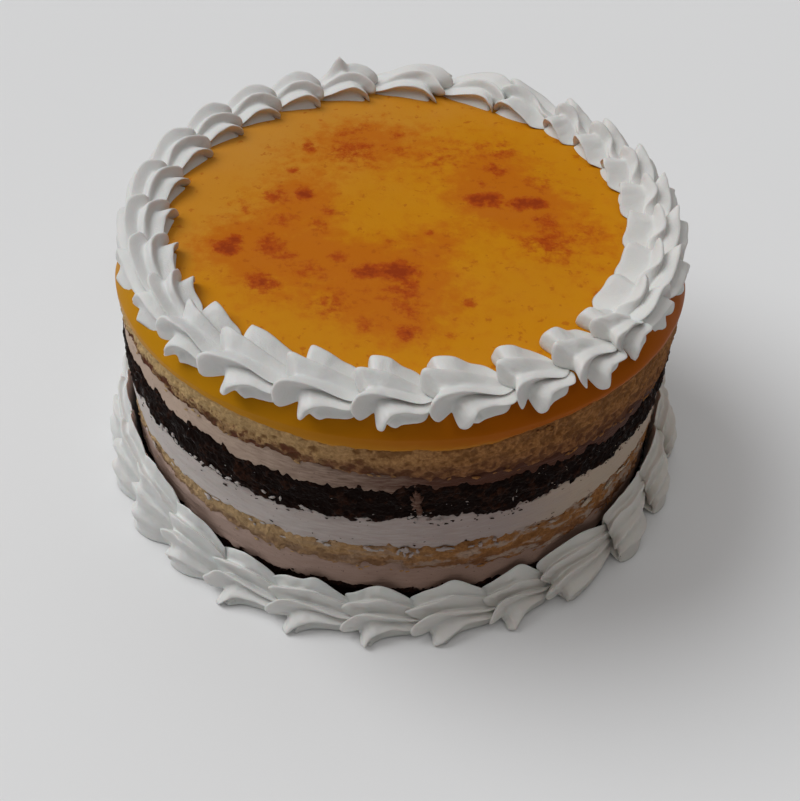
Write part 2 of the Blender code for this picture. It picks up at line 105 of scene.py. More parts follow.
soft_light("window_light", (-0.62, 0.20, 0.75), 40.0, 1.55, (0.97, 0.985, 1.0))
soft_light("ceiling_light", (-0.10, 0.05, 1.0), 100.0, 1.10, (0.99, 0.99, 1.0))
room = bpy.data.worlds.new("room")
room.use_nodes = True
room.node_tree.nodes["Background"].inputs["Color"].default_value = ROOM_COLOUR
room.node_tree.nodes["Background"].inputs["Strength"].default_value = ROOM_STRENGTH
bpy.context.scene.world = room
bpy.context.scene.view_settings.view_transform = "Standard"


# Chocolate sponge at the base
# Soft, nearly black, moist cake crumb, cut level and soaked. The stack is built on it, so the ways in which
# every layer is shaped, roughened and coloured begin here.
CAKE_RADIUS = 0.0900
TOP_SPREAD = 0.0011           # how much wider the top of the stack is, and how far it leans to +X
SPREAD_FROM = 0.045
SPREAD_FULL = 0.077
SIDE_DENT = 0.0038            # how much flatter each side of its top is
DENT_AT = math.radians(92.0)  # the middle of that, from the front
DENT_HALF = math.radians(14.0)
COLUMNS = 1536                # points round a layer
ROW_STEP = 0.00036            # height between them
CORE_RADIUS = 0.070           # the hidden faces close over this ring
LAP = 0.0022                  # each layer runs on this far behind its neighbours
LAP_FROM = 0.0004             # and begins to draw in this far inside its own edge
LAP_SLOPE = 0.50
# Unevenness of the whole cut side: depth, length round the cake, height and seed of each noise
WOBBLES = ((0.00030, 0.040, 0.030, 5), (0.00015, 0.015, 0.012, 6))
# Torn rim of a layer: share of its raggedness, and length of each noise
TORN = ((0.45, 0.0090), (0.45, 0.0034), (0.35, 0.0015), (0.22, 0.0008))
# Dark crumb: depth, length, height and seed of its lumps and grains, then its holes
DARK_LUMPS = ((0.00050, 0.0050, 0.0032, 11), (0.00030, 0.0021, 0.0016, 12), (0.00016, 0.0009, 0.0008, 13))
DARK_HOLES = 0.00070
LATTICE = 64                  # a noise repeats after this many cells upwards
LATTICE_FROM = 7.3            # and height 0 lies this many cells up in it
HOLE_PLACES = (0.15, 0.85)    # where in its cell a hole lies, its radius in cells, and how stretched it is
HOLE_RADII = (0.35, 0.85)
HOLE_STRETCH = (0.7, 1.5)
# The first colour is the crumb's darker tone and the painted shade in its hollows; the second is its lit
# lumps.
DARK_CRUMB_AND_HOLE_SHADE = (0.0075, 0.0024, 0.0012)  # in the crumb's hollows, and on its lumps
LIT_CRUMB = (0.050, 0.0170, 0.0080)

# Upper face of each layer: height, lean (rise towards -X), wave height, waves round, wave turn in radians,
# and how raggedly it is torn at the rim
UNDERSIDE = (0.0, 0.0, 0.0, 1, 0.0, 0.0)
BASE_TOP = (0.0150, 0.0040, 0.0004, 3, 0.4, 0.0018)
COCOA_LOWER_TOP = (0.0247, 0.0050, 0.0004, 5, 1.1, 0.0009)
VANILLA_LOWER_TOP = (0.0347, 0.0008, 0.0004, 4, 2.0, 0.0016)
WHIPPED_TOP = (0.0471, 0.0003, 0.0004, 6, 0.7, 0.0020)
CHOCOLATE_MIDDLE_TOP = (0.0602, 0.0022, 0.0007, 4, 0.3, 0.0028)
COCOA_UPPER_TOP = (0.0662, 0.0047, 0.0004, 3, 2.4, 0.0015)
VANILLA_UPPER_TOP = (0.0784, -0.0008, 0.0014, 4, -1.57, 0.0004)
YOLK_TOP = (0.0891, 0.0000, 0.0, 1, 0.0, 0.0)


def share_of_way(value, start, full):
    """How far a value is from start to full: 0 before, 1 beyond, and a straight line between."""
    return np.clip((value - start) / (full - start), 0.0, 1.0)


def spread_at(height):
    """How far the stack has widened and shifted at a height: none, then a straight rise, then TOP_SPREAD."""
    return TOP_SPREAD * share_of_way(height, SPREAD_FROM, SPREAD_FULL)


def from_front(angle):
    """How far an angle is from the front, whichever way round is shorter."""
    return np.abs((angle + math.pi) % math.tau - math.pi)


def stack_radius(angle, height):
    """Radius of the stack: the cake's own plus the spread, less a bell-shaped dent at each side that grows
    with the spread."""
    spread = spread_at(height)
    dent = np.exp(-((from_front(angle) - DENT_AT) / DENT_HALF) ** 2)
    return CAKE_RADIUS + spread - SIDE_DENT * dent * spread / TOP_SPREAD


def noise(u, v, round_count, seed):
    """Smooth noise from -1 to 1: random values on whole numbers of u and v, blended by a smooth step both
    ways; it repeats every round_count along u, so that it closes round the cake."""
    table = np.random.default_rng(seed).uniform(-1.0, 1.0, (round_count, LATTICE))
    i, j = np.floor(u).astype(int), np.floor(v).astype(int)
    a, b = u - i, v - j
    a, b = a * a * (3.0 - 2.0 * a), b * b * (3.0 - 2.0 * b)
    i0, i1, j0, j1 = i % round_count, (i + 1) % round_count, j % LATTICE, (j + 1) % LATTICE
    low = table[i0, j0] * (1.0 - a) + table[i1, j0] * a
    high = table[i0, j1] * (1.0 - a) + table[i1, j1] * a
    return low * (1.0 - b) + high * b


def side_noise(angle, height, length, tall, seed):
    """Noise on the cake's side with features of a length round it and of a height."""
    round_count = round(math.tau * CAKE_RADIUS / length)
    return noise(angle / math.tau * round_count, height / tall + LATTICE_FROM, round_count, seed)


def side_bumps(angle, height, parts):
    """The sum of noises on the side, each with its own depth, length, height and seed."""
    return sum(depth * side_noise(angle, height, length, tall, seed) for depth, length, tall, seed in parts)


def pits(angle, height, size, share, seed):
    """Depth from 0 to 1 of rounded holes: each cell of a lattice holds at most one, at its own place and of
    its own size, shaped like the inside of a ball; share is the part of the cells that hold one."""
    round_count = round(math.tau * CAKE_RADIUS / size)
    u, v = angle / math.tau * round_count, height / size + LATTICE_FROM
    cells = (round_count, LATTICE)
    rng = np.random.default_rng(seed)
    place_u, place_v = rng.uniform(*HOLE_PLACES, (2, *cells))
    radius = rng.uniform(*HOLE_RADII, cells) * (rng.uniform(0.0, 1.0, cells) < share)
    squash = rng.uniform(*HOLE_STRETCH, cells)
    depth = np.zeros_like(u)
    for step_u in (-1, 0, 1):
        for step_v in (-1, 0, 1):
            i, j = np.floor(u).astype(int) + step_u, np.floor(v).astype(int) + step_v
            cell = (i % round_count, j % LATTICE)
            away = np.hypot((u - i - place_u[cell]) / squash[cell], v - j - place_v[cell])
            ball = np.clip(1.0 - (away / np.maximum(radius[cell], 0.001)) ** 2, 0.0, None)
            depth = np.maximum(depth, np.sqrt(ball) * radius[cell])
    return depth


def face_height(face, angle):
    """Height of an uneven layer face at the rim: its level, less a lean towards +X, plus waves, plus noises
    for its torn edge."""
    height, lean, wave, waves, turn, ragged = face
    torn = sum(share * side_noise(angle, 0.0, length, 1.0, 50 + waves + round(1e4 * height))
               for share, length in TORN)
    return height - lean * np.sin(angle) + wave * np.sin(waves * angle + turn) + ragged * torn


def mesh_object(name, points, quads, triangles):
    """A smooth-shaded mesh object from arrays."""
    mesh = bpy.data.meshes.new(name)
    mesh.from_pydata(points.tolist(), [], quads.tolist() + triangles.tolist())
    mesh.update()
    mesh.shade_smooth()
    obj = bpy.data.objects.new(name, mesh)
    bpy.context.collection.objects.link(obj)
    return obj


def closed_rings(rings):
    """Points, quads and triangles of a body through rings of points, closed by a fan at each end."""
    count, columns = rings.shape[:2]
    points = np.vstack([rings.reshape(-1, 3), rings[0].mean(axis=0)[None], rings[-1].mean(axis=0)[None]])
    row, column = np.meshgrid(np.arange(count - 1), np.arange(columns), indexing="ij")
    here, beside = row * columns + column, row * columns + (column + 1) % columns
    quads = np.stack([here, beside, beside + columns, here + columns], axis=-1).reshape(-1, 4)
    column = np.arange(columns)
    beside = (column + 1) % columns
    first, last = count * columns, (count - 1) * columns
    bottom = np.stack([np.full(columns, first), beside, column], axis=-1)
    top = np.stack([np.full(columns, first + 1), last + column, last + beside], axis=-1)
    return points, quads, np.vstack([bottom, top])


def set_attribute(obj, name, values):
    """Stores one number for each point."""
    layer_data = obj.data.attributes.new(name, "FLOAT", "POINT")
    layer_data.data.foreach_set("value", np.ascontiguousarray(values, dtype=np.float32).ravel())


def layer(name, under, over, stand, relief):
    """One layer of the stack.

    The wall is a grid of angle and height. Its radius is the stack's own plus the relief, and past its upper
    and lower edges it draws in on a slope and runs on behind its neighbours, so that two layers meet where
    one rough surface passes behind the other. Attributes: up is the share of the height, and hollow the
    depth of a hole.
    """
    tall = over[0] - under[0] + 2.0 * LAP
    rows = round(tall / ROW_STEP)
    angle = math.tau * np.arange(COLUMNS) / COLUMNS
    low, high = face_height(under, angle), face_height(over, angle)
    low_lap = LAP if under is not UNDERSIDE else 0.0
    share, angle = np.meshgrid(np.linspace(0.0, 1.0, rows), angle, indexing="ij")
    height = low - low_lap + share * (high - low + low_lap + LAP)
    past = np.maximum(np.where(under is UNDERSIDE, -1.0, low - height), height - high)
    bumps, hollow = relief(angle, height, past)
    spread = spread_at(height)
    radius = stack_radius(angle, height) + stand + side_bumps(angle, height, WOBBLES) + bumps
    radius = radius - LAP_SLOPE * np.clip(past + LAP_FROM, 0.0, None)
    wall = np.stack([spread + radius * np.sin(angle), -radius * np.cos(angle), height], axis=-1)
    ends = [wall[0].copy(), wall[-1].copy()]
    for end in ends:
        end[:, :2] *= CORE_RADIUS / CAKE_RADIUS
    rings = np.concatenate([ends[0][None], wall, ends[1][None]])
    obj = mesh_object(name, *closed_rings(rings))
    for label, values in (("up", (height - low) / (high - low)), ("hollow", hollow)):
        padded = np.concatenate([values[:1], values, values[-1:]]).ravel()
        set_attribute(obj, label, np.append(padded, [0.0, 0.0]))
    return obj


def dark_crumb(angle, height, past):
    """Relief of the dark sponge: torn lumps and grains, less holes of two sizes, the small ones shallower."""
    holes = np.maximum(pits(angle, height, 0.0034, 0.45, 14), 0.7 * pits(angle, height, 0.0016, 0.55, 15))
    return side_bumps(angle, height, DARK_LUMPS) - DARK_HOLES * holes, holes


class Socket:
    """An output socket of a material's nodes. Arithmetic on it adds Math nodes; node() adds any other."""

    def __init__(self, tree, link):
        self.tree = tree
        self.link = link

    def node(self, kind, settings, inputs, output=0):
        """Adds a node. Its settings are set first, then its inputs' values or links."""
        new = self.tree.nodes.new(kind)
        for key, value in settings.items():
            setattr(new, key, value)
        for key, value in inputs.items():
            if isinstance(value, Socket):
                self.tree.links.new(value.link, new.inputs[key])
            else:
                new.inputs[key].default_value = value
        return Socket(self.tree, new.outputs[output])

    def math(self, operation, first, second=0.0):
        return self.node("ShaderNodeMath", {"operation": operation}, {0: first, 1: second})

    def __add__(self, other):
        return self.math("ADD", self, other)

    __radd__ = __add__

    def __sub__(self, other):
        return self.math("SUBTRACT", self, other)

    def __rsub__(self, other):
        return self.math("SUBTRACT", other, self)

    def __mul__(self, other):
        return self.math("MULTIPLY", self, other)

    __rmul__ = __mul__

    def attribute(self, name):
        """One of the piece's own attributes."""
        return self.node("ShaderNodeAttribute", {"attribute_name": name}, {}, "Fac")

    def along(self, axis):
        """This place's X, Y or Z."""
        return self.node("ShaderNodeSeparateXYZ", {}, {0: self}, axis)

    def noise(self, size, detail=2.0, rough=0.5, stretch=1.0):
        """Noise with features of a size in metres; stretch above 1 draws them out sideways."""
        at = self
        if stretch != 1.0:
            at = self.node("ShaderNodeVectorMath", {"operation": "MULTIPLY"},
                           {0: self, 1: (1.0, 1.0, stretch)})
        return at.node("ShaderNodeTexNoise", {},
                       {"Vector": at, "Scale": 1.0 / size, "Detail": detail, "Roughness": rough})

    def cells(self, size):
        """Distance to the nearest of scattered points, in cells of a size in metres."""
        return self.node("ShaderNodeTexVoronoi", {"feature": "F1"}, {"Vector": self, "Scale": 1.0 / size})

    def ramp(self, start, end):
        """A smooth step from 0 at start to 1 at end."""
        return self.node("ShaderNodeMapRange", {"interpolation_type": "SMOOTHSTEP"},
                         {"Value": self, "From Min": start, "From Max": end})

    def mixed(self, first, second):
        """A colour between two, by this socket."""
        def colour(value):
            return value if isinstance(value, Socket) else (*value, 1.0)
        return self.node("ShaderNodeMix", {"data_type": "RGBA"},
                         {0: self, 6: colour(first), 7: colour(second)}, 2)


def new_material(name, settings):
    """A Principled material; returns it, its shader node, and the Object coordinates to build patterns on."""
    material = bpy.data.materials.new(name)
    material.use_nodes = True
    shader = material.node_tree.nodes["Principled BSDF"]
    for key, value in settings.items():
        shader.inputs[key].default_value = value
    coordinates = material.node_tree.nodes.new("ShaderNodeTexCoord")
    return material, shader, Socket(material.node_tree, coordinates.outputs["Object"])


def connect(shader, colour, roughness, relief, depth):
    """Links a colour, a roughness and a bump of a depth in metres to a shader."""
    links = colour.tree.links
    links.new(colour.link, shader.inputs["Base Color"])
    links.new(roughness.link, shader.inputs["Roughness"])
    bump = relief.node("ShaderNodeBump", {}, {"Height": relief, "Distance": depth, "Strength": 1.0})
    links.new(bump.link, shader.inputs["Normal"])


def dark_sponge_material():
    """Nearly black crumb, browner on its lumps and in random patches, with painted shade in its holes; wet
    enough to glint in small specks.
    """
    material, shader, place = new_material("chocolate_sponge", {"Specular IOR Level": 0.06})
    crumb = place.noise(0.0011, 4.0, 0.65)
    cells = place.cells(0.0013)
    hollow = place.attribute("hollow")
    # Painted shade: the hollows take the darker colour, on top of the crumb's random tone.
    brown = (crumb * 0.8 + place.noise(0.006, 2.0) * 0.5 - hollow * 0.5).ramp(0.48, 1.0)
    colour = brown.mixed(DARK_CRUMB_AND_HOLE_SHADE, LIT_CRUMB)
    wet = place.noise(0.0024, 2.0).ramp(0.54, 0.70)
    connect(shader, colour, 0.75 - wet * 0.42, crumb * 0.7 - cells * 0.8, 0.0009)
    return material


def place_piece(obj, material, slot, *nodes):
    """Gives a piece its material and its body, and hides the nodes that it stands for; the slot is not used.
    """
    obj.data.materials.append(material)
    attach(obj, "root")
    if nodes:
        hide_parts(*nodes)


CHOCOLATE = dark_sponge_material()
base = layer("base_chocolate_sponge", UNDERSIDE, BASE_TOP, -0.0001, dark_crumb)
place_piece(base, CHOCOLATE, "chocolate_sponge", "chocolate_sponge_base")


# Cocoa whipped cream, two fillings
# Cream whipped with a little cocoa, spread between sponges and dragged smooth when the side was wiped.
# It is painted paler towards -X, as lit, and darker brown towards +X, as in shade.

# Depth, length, height and seed of its waves and of the drag lines, then of the bumps near its edges
WIPED = ((0.00022, 0.018, 0.0040, 21), (0.00010, 0.0060, 0.0016, 22), (0.000045, 0.0200, 0.0007, 23))
WIPED_EDGE = ((0.00028, 0.0028, 0.0022, 24),)
WIPED_EDGE_WIDTH = 0.0020     # those bumps fade out over this distance
BUBBLE_DEPTH = 0.00035
COCOA_SPECK = (0.05, 0.025, 0.015)


def smear(angle, height, past):
    """Relief of wiped cream: long low waves and fine drag lines, plus bumps that fade away from its edges,
    less a few torn bubbles."""
    near = np.clip(1.0 + past / WIPED_EDGE_WIDTH, 0.0, 1.0)
    bubbles = pits(angle, height, 0.0040, 0.05, 25)
    bumps = side_bumps(angle, height, WIPED) + side_bumps(angle, height, WIPED_EDGE) * near
    return bumps - BUBBLE_DEPTH * bubbles, bubbles


def cocoa_cream_material(name, lit, shaded_colour):
    """Brown-pink cream, streaked along the way it was wiped, painted paler towards -X as lit and darker
    towards +X as shaded.
    """
    material, shader, place = new_material(name, {"Specular IOR Level": 0.10})
    across = place.along("X")
    streaks = place.noise(0.0040, 3.0, 0.55, 5.0)
    # Painted light and shade: paler towards -X and darker towards +X, mixed with random streaks.
    thick = (streaks * 0.5 - across * 9.0 - 0.10).ramp(-0.05, 0.75)
    colour = thick.mixed(shaded_colour, lit)
    speck = place.noise(0.0009, 2.0).ramp(0.66, 0.74)
    colour = (speck * 0.5).mixed(colour, COCOA_SPECK)
    relief = place.noise(0.0012, 3.0, 0.5, 3.0) * 0.6 + streaks * 0.6
    connect(shader, colour, 0.46 + place.noise(0.003, 2.0) * 0.2, relief, 0.0004)
    return material


# Colours where each fill is lit, then its painted shade towards +X.
COCOA_LOWER = cocoa_cream_material("cocoa_cream_lower", (0.42, 0.30, 0.25), (0.30, 0.19, 0.145))
cocoa_lower = layer("lower_cocoa_cream", BASE_TOP, COCOA_LOWER_TOP, -0.0004, smear)
place_piece(cocoa_lower, COCOA_LOWER, "cocoa_cream", "cocoa_cream_lower")
COCOA_UPPER = cocoa_cream_material("cocoa_cream_upper", (0.55, 0.41, 0.32), (0.080, 0.027, 0.014))
cocoa_upper = layer("upper_cocoa_cream", CHOCOLATE_MIDDLE_TOP, COCOA_UPPER_TOP, -0.0004, smear)
place_piece(cocoa_upper, COCOA_UPPER, "cocoa_cream", "cocoa_cream_upper")


# Vanilla sponge, two rounds
# Open golden crumb, cut through its holes, soaked with milk; stained red-brown by the cocoa cream under it.

# Depth, length, height and seed of its lumps and grains, then its holes
PALE_LUMPS = ((0.00034, 0.0046, 0.0034, 31), (0.00020, 0.0018, 0.0015, 32), (0.00013, 0.0008, 0.0007, 33))
PALE_HOLES = 0.00105
PALE_EDGE_WIDTH = 0.0045      # the largest holes are deeper this near to its edges
# Crumb and patch colours are painted pale at -X, as lit, and deep at +X, as in shade.
WALL_LEFT, WALL_RIGHT = (0.68, 0.48, 0.24), (0.47, 0.215, 0.072)    # crumb at -X and at +X
SHADE_LEFT, SHADE_RIGHT = (0.50, 0.32, 0.14), (0.22, 0.085, 0.026)  # its darker patches there
COCOA_STAIN = (0.20, 0.082, 0.040)
# Painted shade in the holes, darker low down in the layer.
HOLE_SHADE_HIGH, HOLE_SHADE_LOW = (0.16, 0.065, 0.019), (0.060, 0.017, 0.009)
BROKEN_CRUMB = (0.135, 0.040, 0.022)
RUBBED_BROWN = (0.36, 0.245, 0.155)
SMEARED_CREAM = (0.42, 0.33, 0.27)


def pale_crumb(angle, height, past):
    """Relief of the vanilla sponge: rough walls, less cut holes of three sizes, of which the largest are
    deeper near its edges."""
    large = pits(angle, height, 0.0042, 0.42, 34)
    small = pits(angle, height, 0.0021, 0.60, 35)
    finest = pits(angle, height, 0.0011, 0.60, 36)
    near = np.clip(1.0 + past / PALE_EDGE_WIDTH, 0.0, 1.0)
    holes = np.maximum(np.maximum(large * (0.45 + 0.55 * near), 0.75 * small), 0.45 * finest)
    return side_bumps(angle, height, PALE_LUMPS) - PALE_HOLES * holes, holes


def pale_sponge_material(name, contrast, smeared):
    """Golden crumb, painted pale as lit towards -X and deeper as shaded towards +X, close towards -X and more
    open towards +X; its holes hold painted shade, red-brown, most of them low down, where the cocoa cream has
    stained it."""
    material, shader, place = new_material(name, {"Specular IOR Level": 0.08})
    hollow = place.attribute("hollow")
    across = place.along("X")
    toward = (across * 7.0 + 0.5).ramp(0.0, 0.75)
    crumb = place.noise(0.0010, 4.0, 0.65)
    cells = place.cells(0.0015)
    low = 1.0 - place.attribute("up").ramp(0.10, 0.70)
    patch = place.noise(0.008, 3.0)
    # Painted light and shade: from the -X colours to the +X colours.
    shade = toward.mixed(SHADE_LEFT, SHADE_RIGHT)
    lit = (crumb * 1.2 + patch * 0.5 - 0.35).ramp(0.2, 0.8) * contrast + (0.5 - 0.5 * contrast)
    wall = lit.mixed(shade, toward.mixed(WALL_LEFT, WALL_RIGHT))
    stained = (low * 0.75 + patch * 0.9 - 0.35).ramp(0.15, 0.85)
    wall = (stained * 0.50).mixed(wall, COCOA_STAIN)
    lower_half = 1.0 - place.attribute("up").ramp(0.35, 0.95)
    broken = (lower_half * 0.40 + place.noise(0.0026, 4.0, 0.70) + patch * 0.40 - 1.07).ramp(0.0, 0.10)
    # Painted shade in the holes and in the cells of the crumb.
    hole_shade = (hollow * 1.1 + cells * 0.35 - crumb * 0.25 - (1.0 - low) * (1.0 - toward) * 0.45).ramp(0.16, 0.60)
    depth = hole_shade * contrast * (1.0 - toward * 0.25)
    colour = depth.mixed(wall, low.mixed(HOLE_SHADE_HIGH, HOLE_SHADE_LOW))
    colour = (broken * (1.0 - toward) * (0.95 - smeared)).mixed(colour, BROKEN_CRUMB)
    colour = ((1.0 - toward) * smeared * 0.6).mixed(colour, RUBBED_BROWN)
    smear_share = place.noise(0.0075, 3.0, 0.6, 2.5).ramp(0.47, 0.62) * (across * 9.0 + 0.5).ramp(0.0, 1.0)
    colour = (smear_share * smeared).mixed(colour, SMEARED_CREAM)
    relief = crumb * 0.8 - cells * 1.0
    connect(shader, colour, 0.80 - place.noise(0.003, 2.0).ramp(0.55, 0.75) * 0.25, relief, 0.0008)
    return material


VANILLA = pale_sponge_material("vanilla_sponge", 0.90, 0.0)
SMEARED_VANILLA = pale_sponge_material("vanilla_sponge_smeared", 0.55, 0.75)
vanilla_lower = layer("lower_vanilla_sponge", COCOA_LOWER_TOP, VANILLA_LOWER_TOP, -0.0001, pale_crumb)
place_piece(vanilla_lower, SMEARED_VANILLA, "vanilla_sponge", "vanilla_sponge_lower")
vanilla_upper = layer("upper_vanilla_sponge", COCOA_UPPER_TOP, VANILLA_UPPER_TOP, 0.0, pale_crumb)
place_piece(vanilla_upper, VANILLA, "vanilla_sponge", "vanilla_sponge_upper")


# Whipped cream filling
# Plain sweet cream, wiped level with the sponges, so it carries a trace of crumb and cocoa in its drag lines.
# The rubbed colour also serves as painted shade, which grows towards +X.
CLEAN_CREAM, RUBBED_AND_SHADED_CREAM = (0.56, 0.505, 0.475), (0.35, 0.275, 0.250)
# Painted warm bounce light in the shade at +X.
WARM_BOUNCE_CREAM = (0.47, 0.36, 0.27)
CREAM_SPECK = (0.14, 0.07, 0.04)


def cream_side_material():
    """Off-white cream, a little pink and grey from the crumb rubbed into it, with painted shade towards +X
    that turns warm further out, as bounced light.
    """
    material, shader, place = new_material("whipped_cream_filling", {
        "Subsurface Weight": 0.10, "Subsurface Scale": 0.004, "Specular IOR Level": 0.2})
    streaks = place.noise(0.0060, 4.0, 0.55, 6.0)
    across = place.along("X")
    # Rubbed streaks, plus painted shade that darkens the cream towards +X.
    rubbed = (streaks * 0.6 + across * 6.5 + 0.36).ramp(0.10, 0.90)
    colour = rubbed.mixed(CLEAN_CREAM, RUBBED_AND_SHADED_CREAM)
    # Painted warm bounce light, beyond 30 mm towards +X.
    warm_bounce = (across + (streaks - 0.5) * 0.02).ramp(0.030, 0.065)
    colour = warm_bounce.mixed(colour, WARM_BOUNCE_CREAM)
    speck = place.noise(0.0012, 2.0, 0.5, 2.0).ramp(0.68, 0.76)
    colour = (speck * 0.6).mixed(colour, CREAM_SPECK)
    relief = streaks * 0.6 + place.noise(0.0015, 3.0, 0.5, 3.0) * 0.5
    connect(shader, colour, 0.45 + streaks * 0.15, relief, 0.0003)
    return material


CREAM_SIDE = cream_side_material()
filling = layer("whipped_cream_filling", VANILLA_LOWER_TOP, WHIPPED_TOP, -0.0003, smear)
place_piece(filling, CREAM_SIDE, "whipped_cream", "whipped_cream_layer")


# Chocolate sponge in the middle
# The same crumb as the base, torn into ragged edges, with the cream pushed into its holes.
middle = layer("middle_chocolate_sponge", WHIPPED_TOP, CHOCOLATE_MIDDLE_TOP, 0.0001, dark_crumb)
place_piece(middle, CHOCOLATE, "chocolate_sponge", "chocolate_sponge_middle")


# Loose crumbs and torn cream on the cut side
# What the knife and the palette knife dragged: dark crumbs in the white filling and along the base, bits of
# white cream in the sponges' holes, tongues of cocoa cream over the dark sponge, and a few pale crumbs.
MM = 0.001
LUMP_ROWS = 7
LUMP_COLUMNS = 10
LUMP_ENDS = 0.12              # radians from a lump's poles to its first and last ring
LUMP_UNEVEN = 0.48
LUMP_TILT = 0.5
LUMP_OUT = 0.10               # how far its middle lies outside the side, as a share of its thickness
# Of a strewn lump's size: its width and height between two shares, and its thickness
STREWN_WIDTH, STREWN_TALL, STREWN_THICK = (0.8, 3.0), (0.5, 1.1), 0.4


def lump(angle, height, width, tall, thick, rng):
    """Rings of one lump that sits on the cake's side: a ball, uneven by a random share at each point,
    stretched to its width along the side, its height and its thickness, and turned a little."""
    polar, around = np.meshgrid(np.linspace(LUMP_ENDS, math.pi - LUMP_ENDS, LUMP_ROWS),
                                math.tau * np.arange(LUMP_COLUMNS) / LUMP_COLUMNS, indexing="ij")
    uneven_by = 1.0 + LUMP_UNEVEN * rng.uniform(-1.0, 1.0, polar.shape)
    along = 0.5 * width * uneven_by * np.sin(polar) * np.cos(around)
    out = 0.5 * thick * uneven_by * np.sin(polar) * np.sin(around)
    up = -0.5 * tall * uneven_by * np.cos(polar)
    tilt = rng.uniform(-LUMP_TILT, LUMP_TILT)
    along, up = along * math.cos(tilt) - up * math.sin(tilt), along * math.sin(tilt) + up * math.cos(tilt)
    spread = spread_at(height)
    radius = stack_radius(angle, height) + LUMP_OUT * thick + out
    turn = angle + along / CAKE_RADIUS
    return np.stack([spread + radius * np.sin(turn), -radius * np.cos(turn), height + up], axis=-1)


def joined(name, bodies):
    """One object of several closed bodies."""
    points, quads, triangles = [], [], []
    count = 0
    for rings in bodies:
        body_points, body_quads, body_triangles = closed_rings(rings)
        points.append(body_points)
        quads.append(body_quads + count)
        triangles.append(body_triangles + count)
        count += len(body_points)
    return mesh_object(name, np.vstack(points), np.vstack(quads), np.vstack(triangles))


def lumps_at(places, rng):
    """Lumps at set places: angle from the front in degrees, then, in mm, the height at which each lies, its
    width, its own height and its thickness."""
    return [lump(math.radians(angle), MM * height, MM * width, MM * tall, MM * thick, rng)
            for angle, height, width, tall, thick in places]


def strewn(face, count, above, below, sizes, rng):
    """Lumps strewn along the rim of a layer's face, from above it to below it. One is left out where a
    random number from -1 to 1.4 is over the sine of its angle plus 0.6, which leaves more towards +X."""
    lumps = []
    for angle in rng.uniform(-math.pi, math.pi, count):
        if rng.uniform(-1.0, 1.4) > math.sin(angle) + 0.6:
            continue
        height = float(face_height(face, np.array([angle]))[0]) + rng.uniform(-below, above)
        size = rng.uniform(*sizes)
        width, tall = size * rng.uniform(*STREWN_WIDTH), size * rng.uniform(*STREWN_TALL)
        lumps.append(lump(angle, height, width, tall, STREWN_THICK * size, rng))
    return lumps


rng = np.random.default_rng(83)
lumps = strewn(WHIPPED_TOP, 420, 0.0004, 0.0030, (0.0002, 0.0006), rng)
lumps += strewn(BASE_TOP, 200, 0.0016, 0.0002, (0.0004, 0.0010), rng)
lumps += strewn(VANILLA_LOWER_TOP, 120, 0.0030, 0.0010, (0.0002, 0.0005), rng)
place_piece(joined("loose_dark_crumbs", lumps), CHOCOLATE, "chocolate_sponge")

# Bits that stand out, as lumps_at takes them
WHITE_BITS = ((-51.5, 49.0, 1.9, 1.5, 0.9), (-49.6, 49.6, 1.4, 1.6, 0.9), (-47.2, 50.6, 1.3, 1.5, 0.8),
              (-40.5, 48.8, 1.8, 0.9, 0.6), (-38.6, 48.6, 1.5, 0.9, 0.6), (-35.8, 49.6, 2.2, 0.8, 0.6),
              (-34.2, 49.0, 2.4, 0.9, 0.6), (-31.9, 48.7, 2.6, 0.9, 0.6), (-29.8, 48.6, 1.7, 0.9, 0.6),
              (-24.0, 49.8, 1.6, 0.7, 0.5), (-22.3, 48.6, 2.2, 0.8, 0.5), (-20.6, 49.4, 0.7, 1.8, 0.5),
              (4.9, 47.8, 0.7, 1.8, 0.6), (7.0, 47.5, 0.9, 0.9, 0.6), (23.3, 53.2, 0.3, 2.4, 0.5),
              (23.0, 50.6, 0.4, 1.6, 0.5), (1.8, 33.4, 1.1, 2.2, 0.7), (3.0, 32.6, 0.8, 2.0, 0.7),
              (4.2, 32.0, 1.0, 2.4, 0.7), (5.4, 33.6, 0.9, 1.6, 0.7), (17.6, 33.0, 1.3, 1.7, 0.8),
              (20.4, 33.8, 1.2, 1.4, 0.8), (34.0, 55.5, 0.4, 1.9, 0.5), (36.5, 56.4, 1.6, 0.6, 0.5))
lumps = lumps_at(WHITE_BITS, rng)
lumps += strewn(VANILLA_LOWER_TOP, 150, 0.0003, 0.0030, (0.0006, 0.0016), rng)
lumps += strewn(WHIPPED_TOP, 130, 0.0018, 0.0002, (0.0004, 0.0014), rng)
lumps += strewn(CHOCOLATE_MIDDLE_TOP, 160, -0.0008, 0.0110, (0.00015, 0.00035), rng)
place_piece(joined("torn_white_cream", lumps), CREAM_SIDE, "whipped_cream")

COCOA_BITS = ((4.6, 58.4, 2.2, 4.6, 1.0), (4.7, 56.0, 2.0, 5.2, 1.0), (5.0, 53.6, 1.7, 4.4, 0.9),
              (5.2, 51.6, 1.3, 3.0, 0.8), (3.8, 57.2, 1.2, 2.2, 0.8))
lumps = lumps_at(COCOA_BITS, rng)
place_piece(joined("torn_cocoa_cream", lumps), COCOA_UPPER, "cocoa_cream")

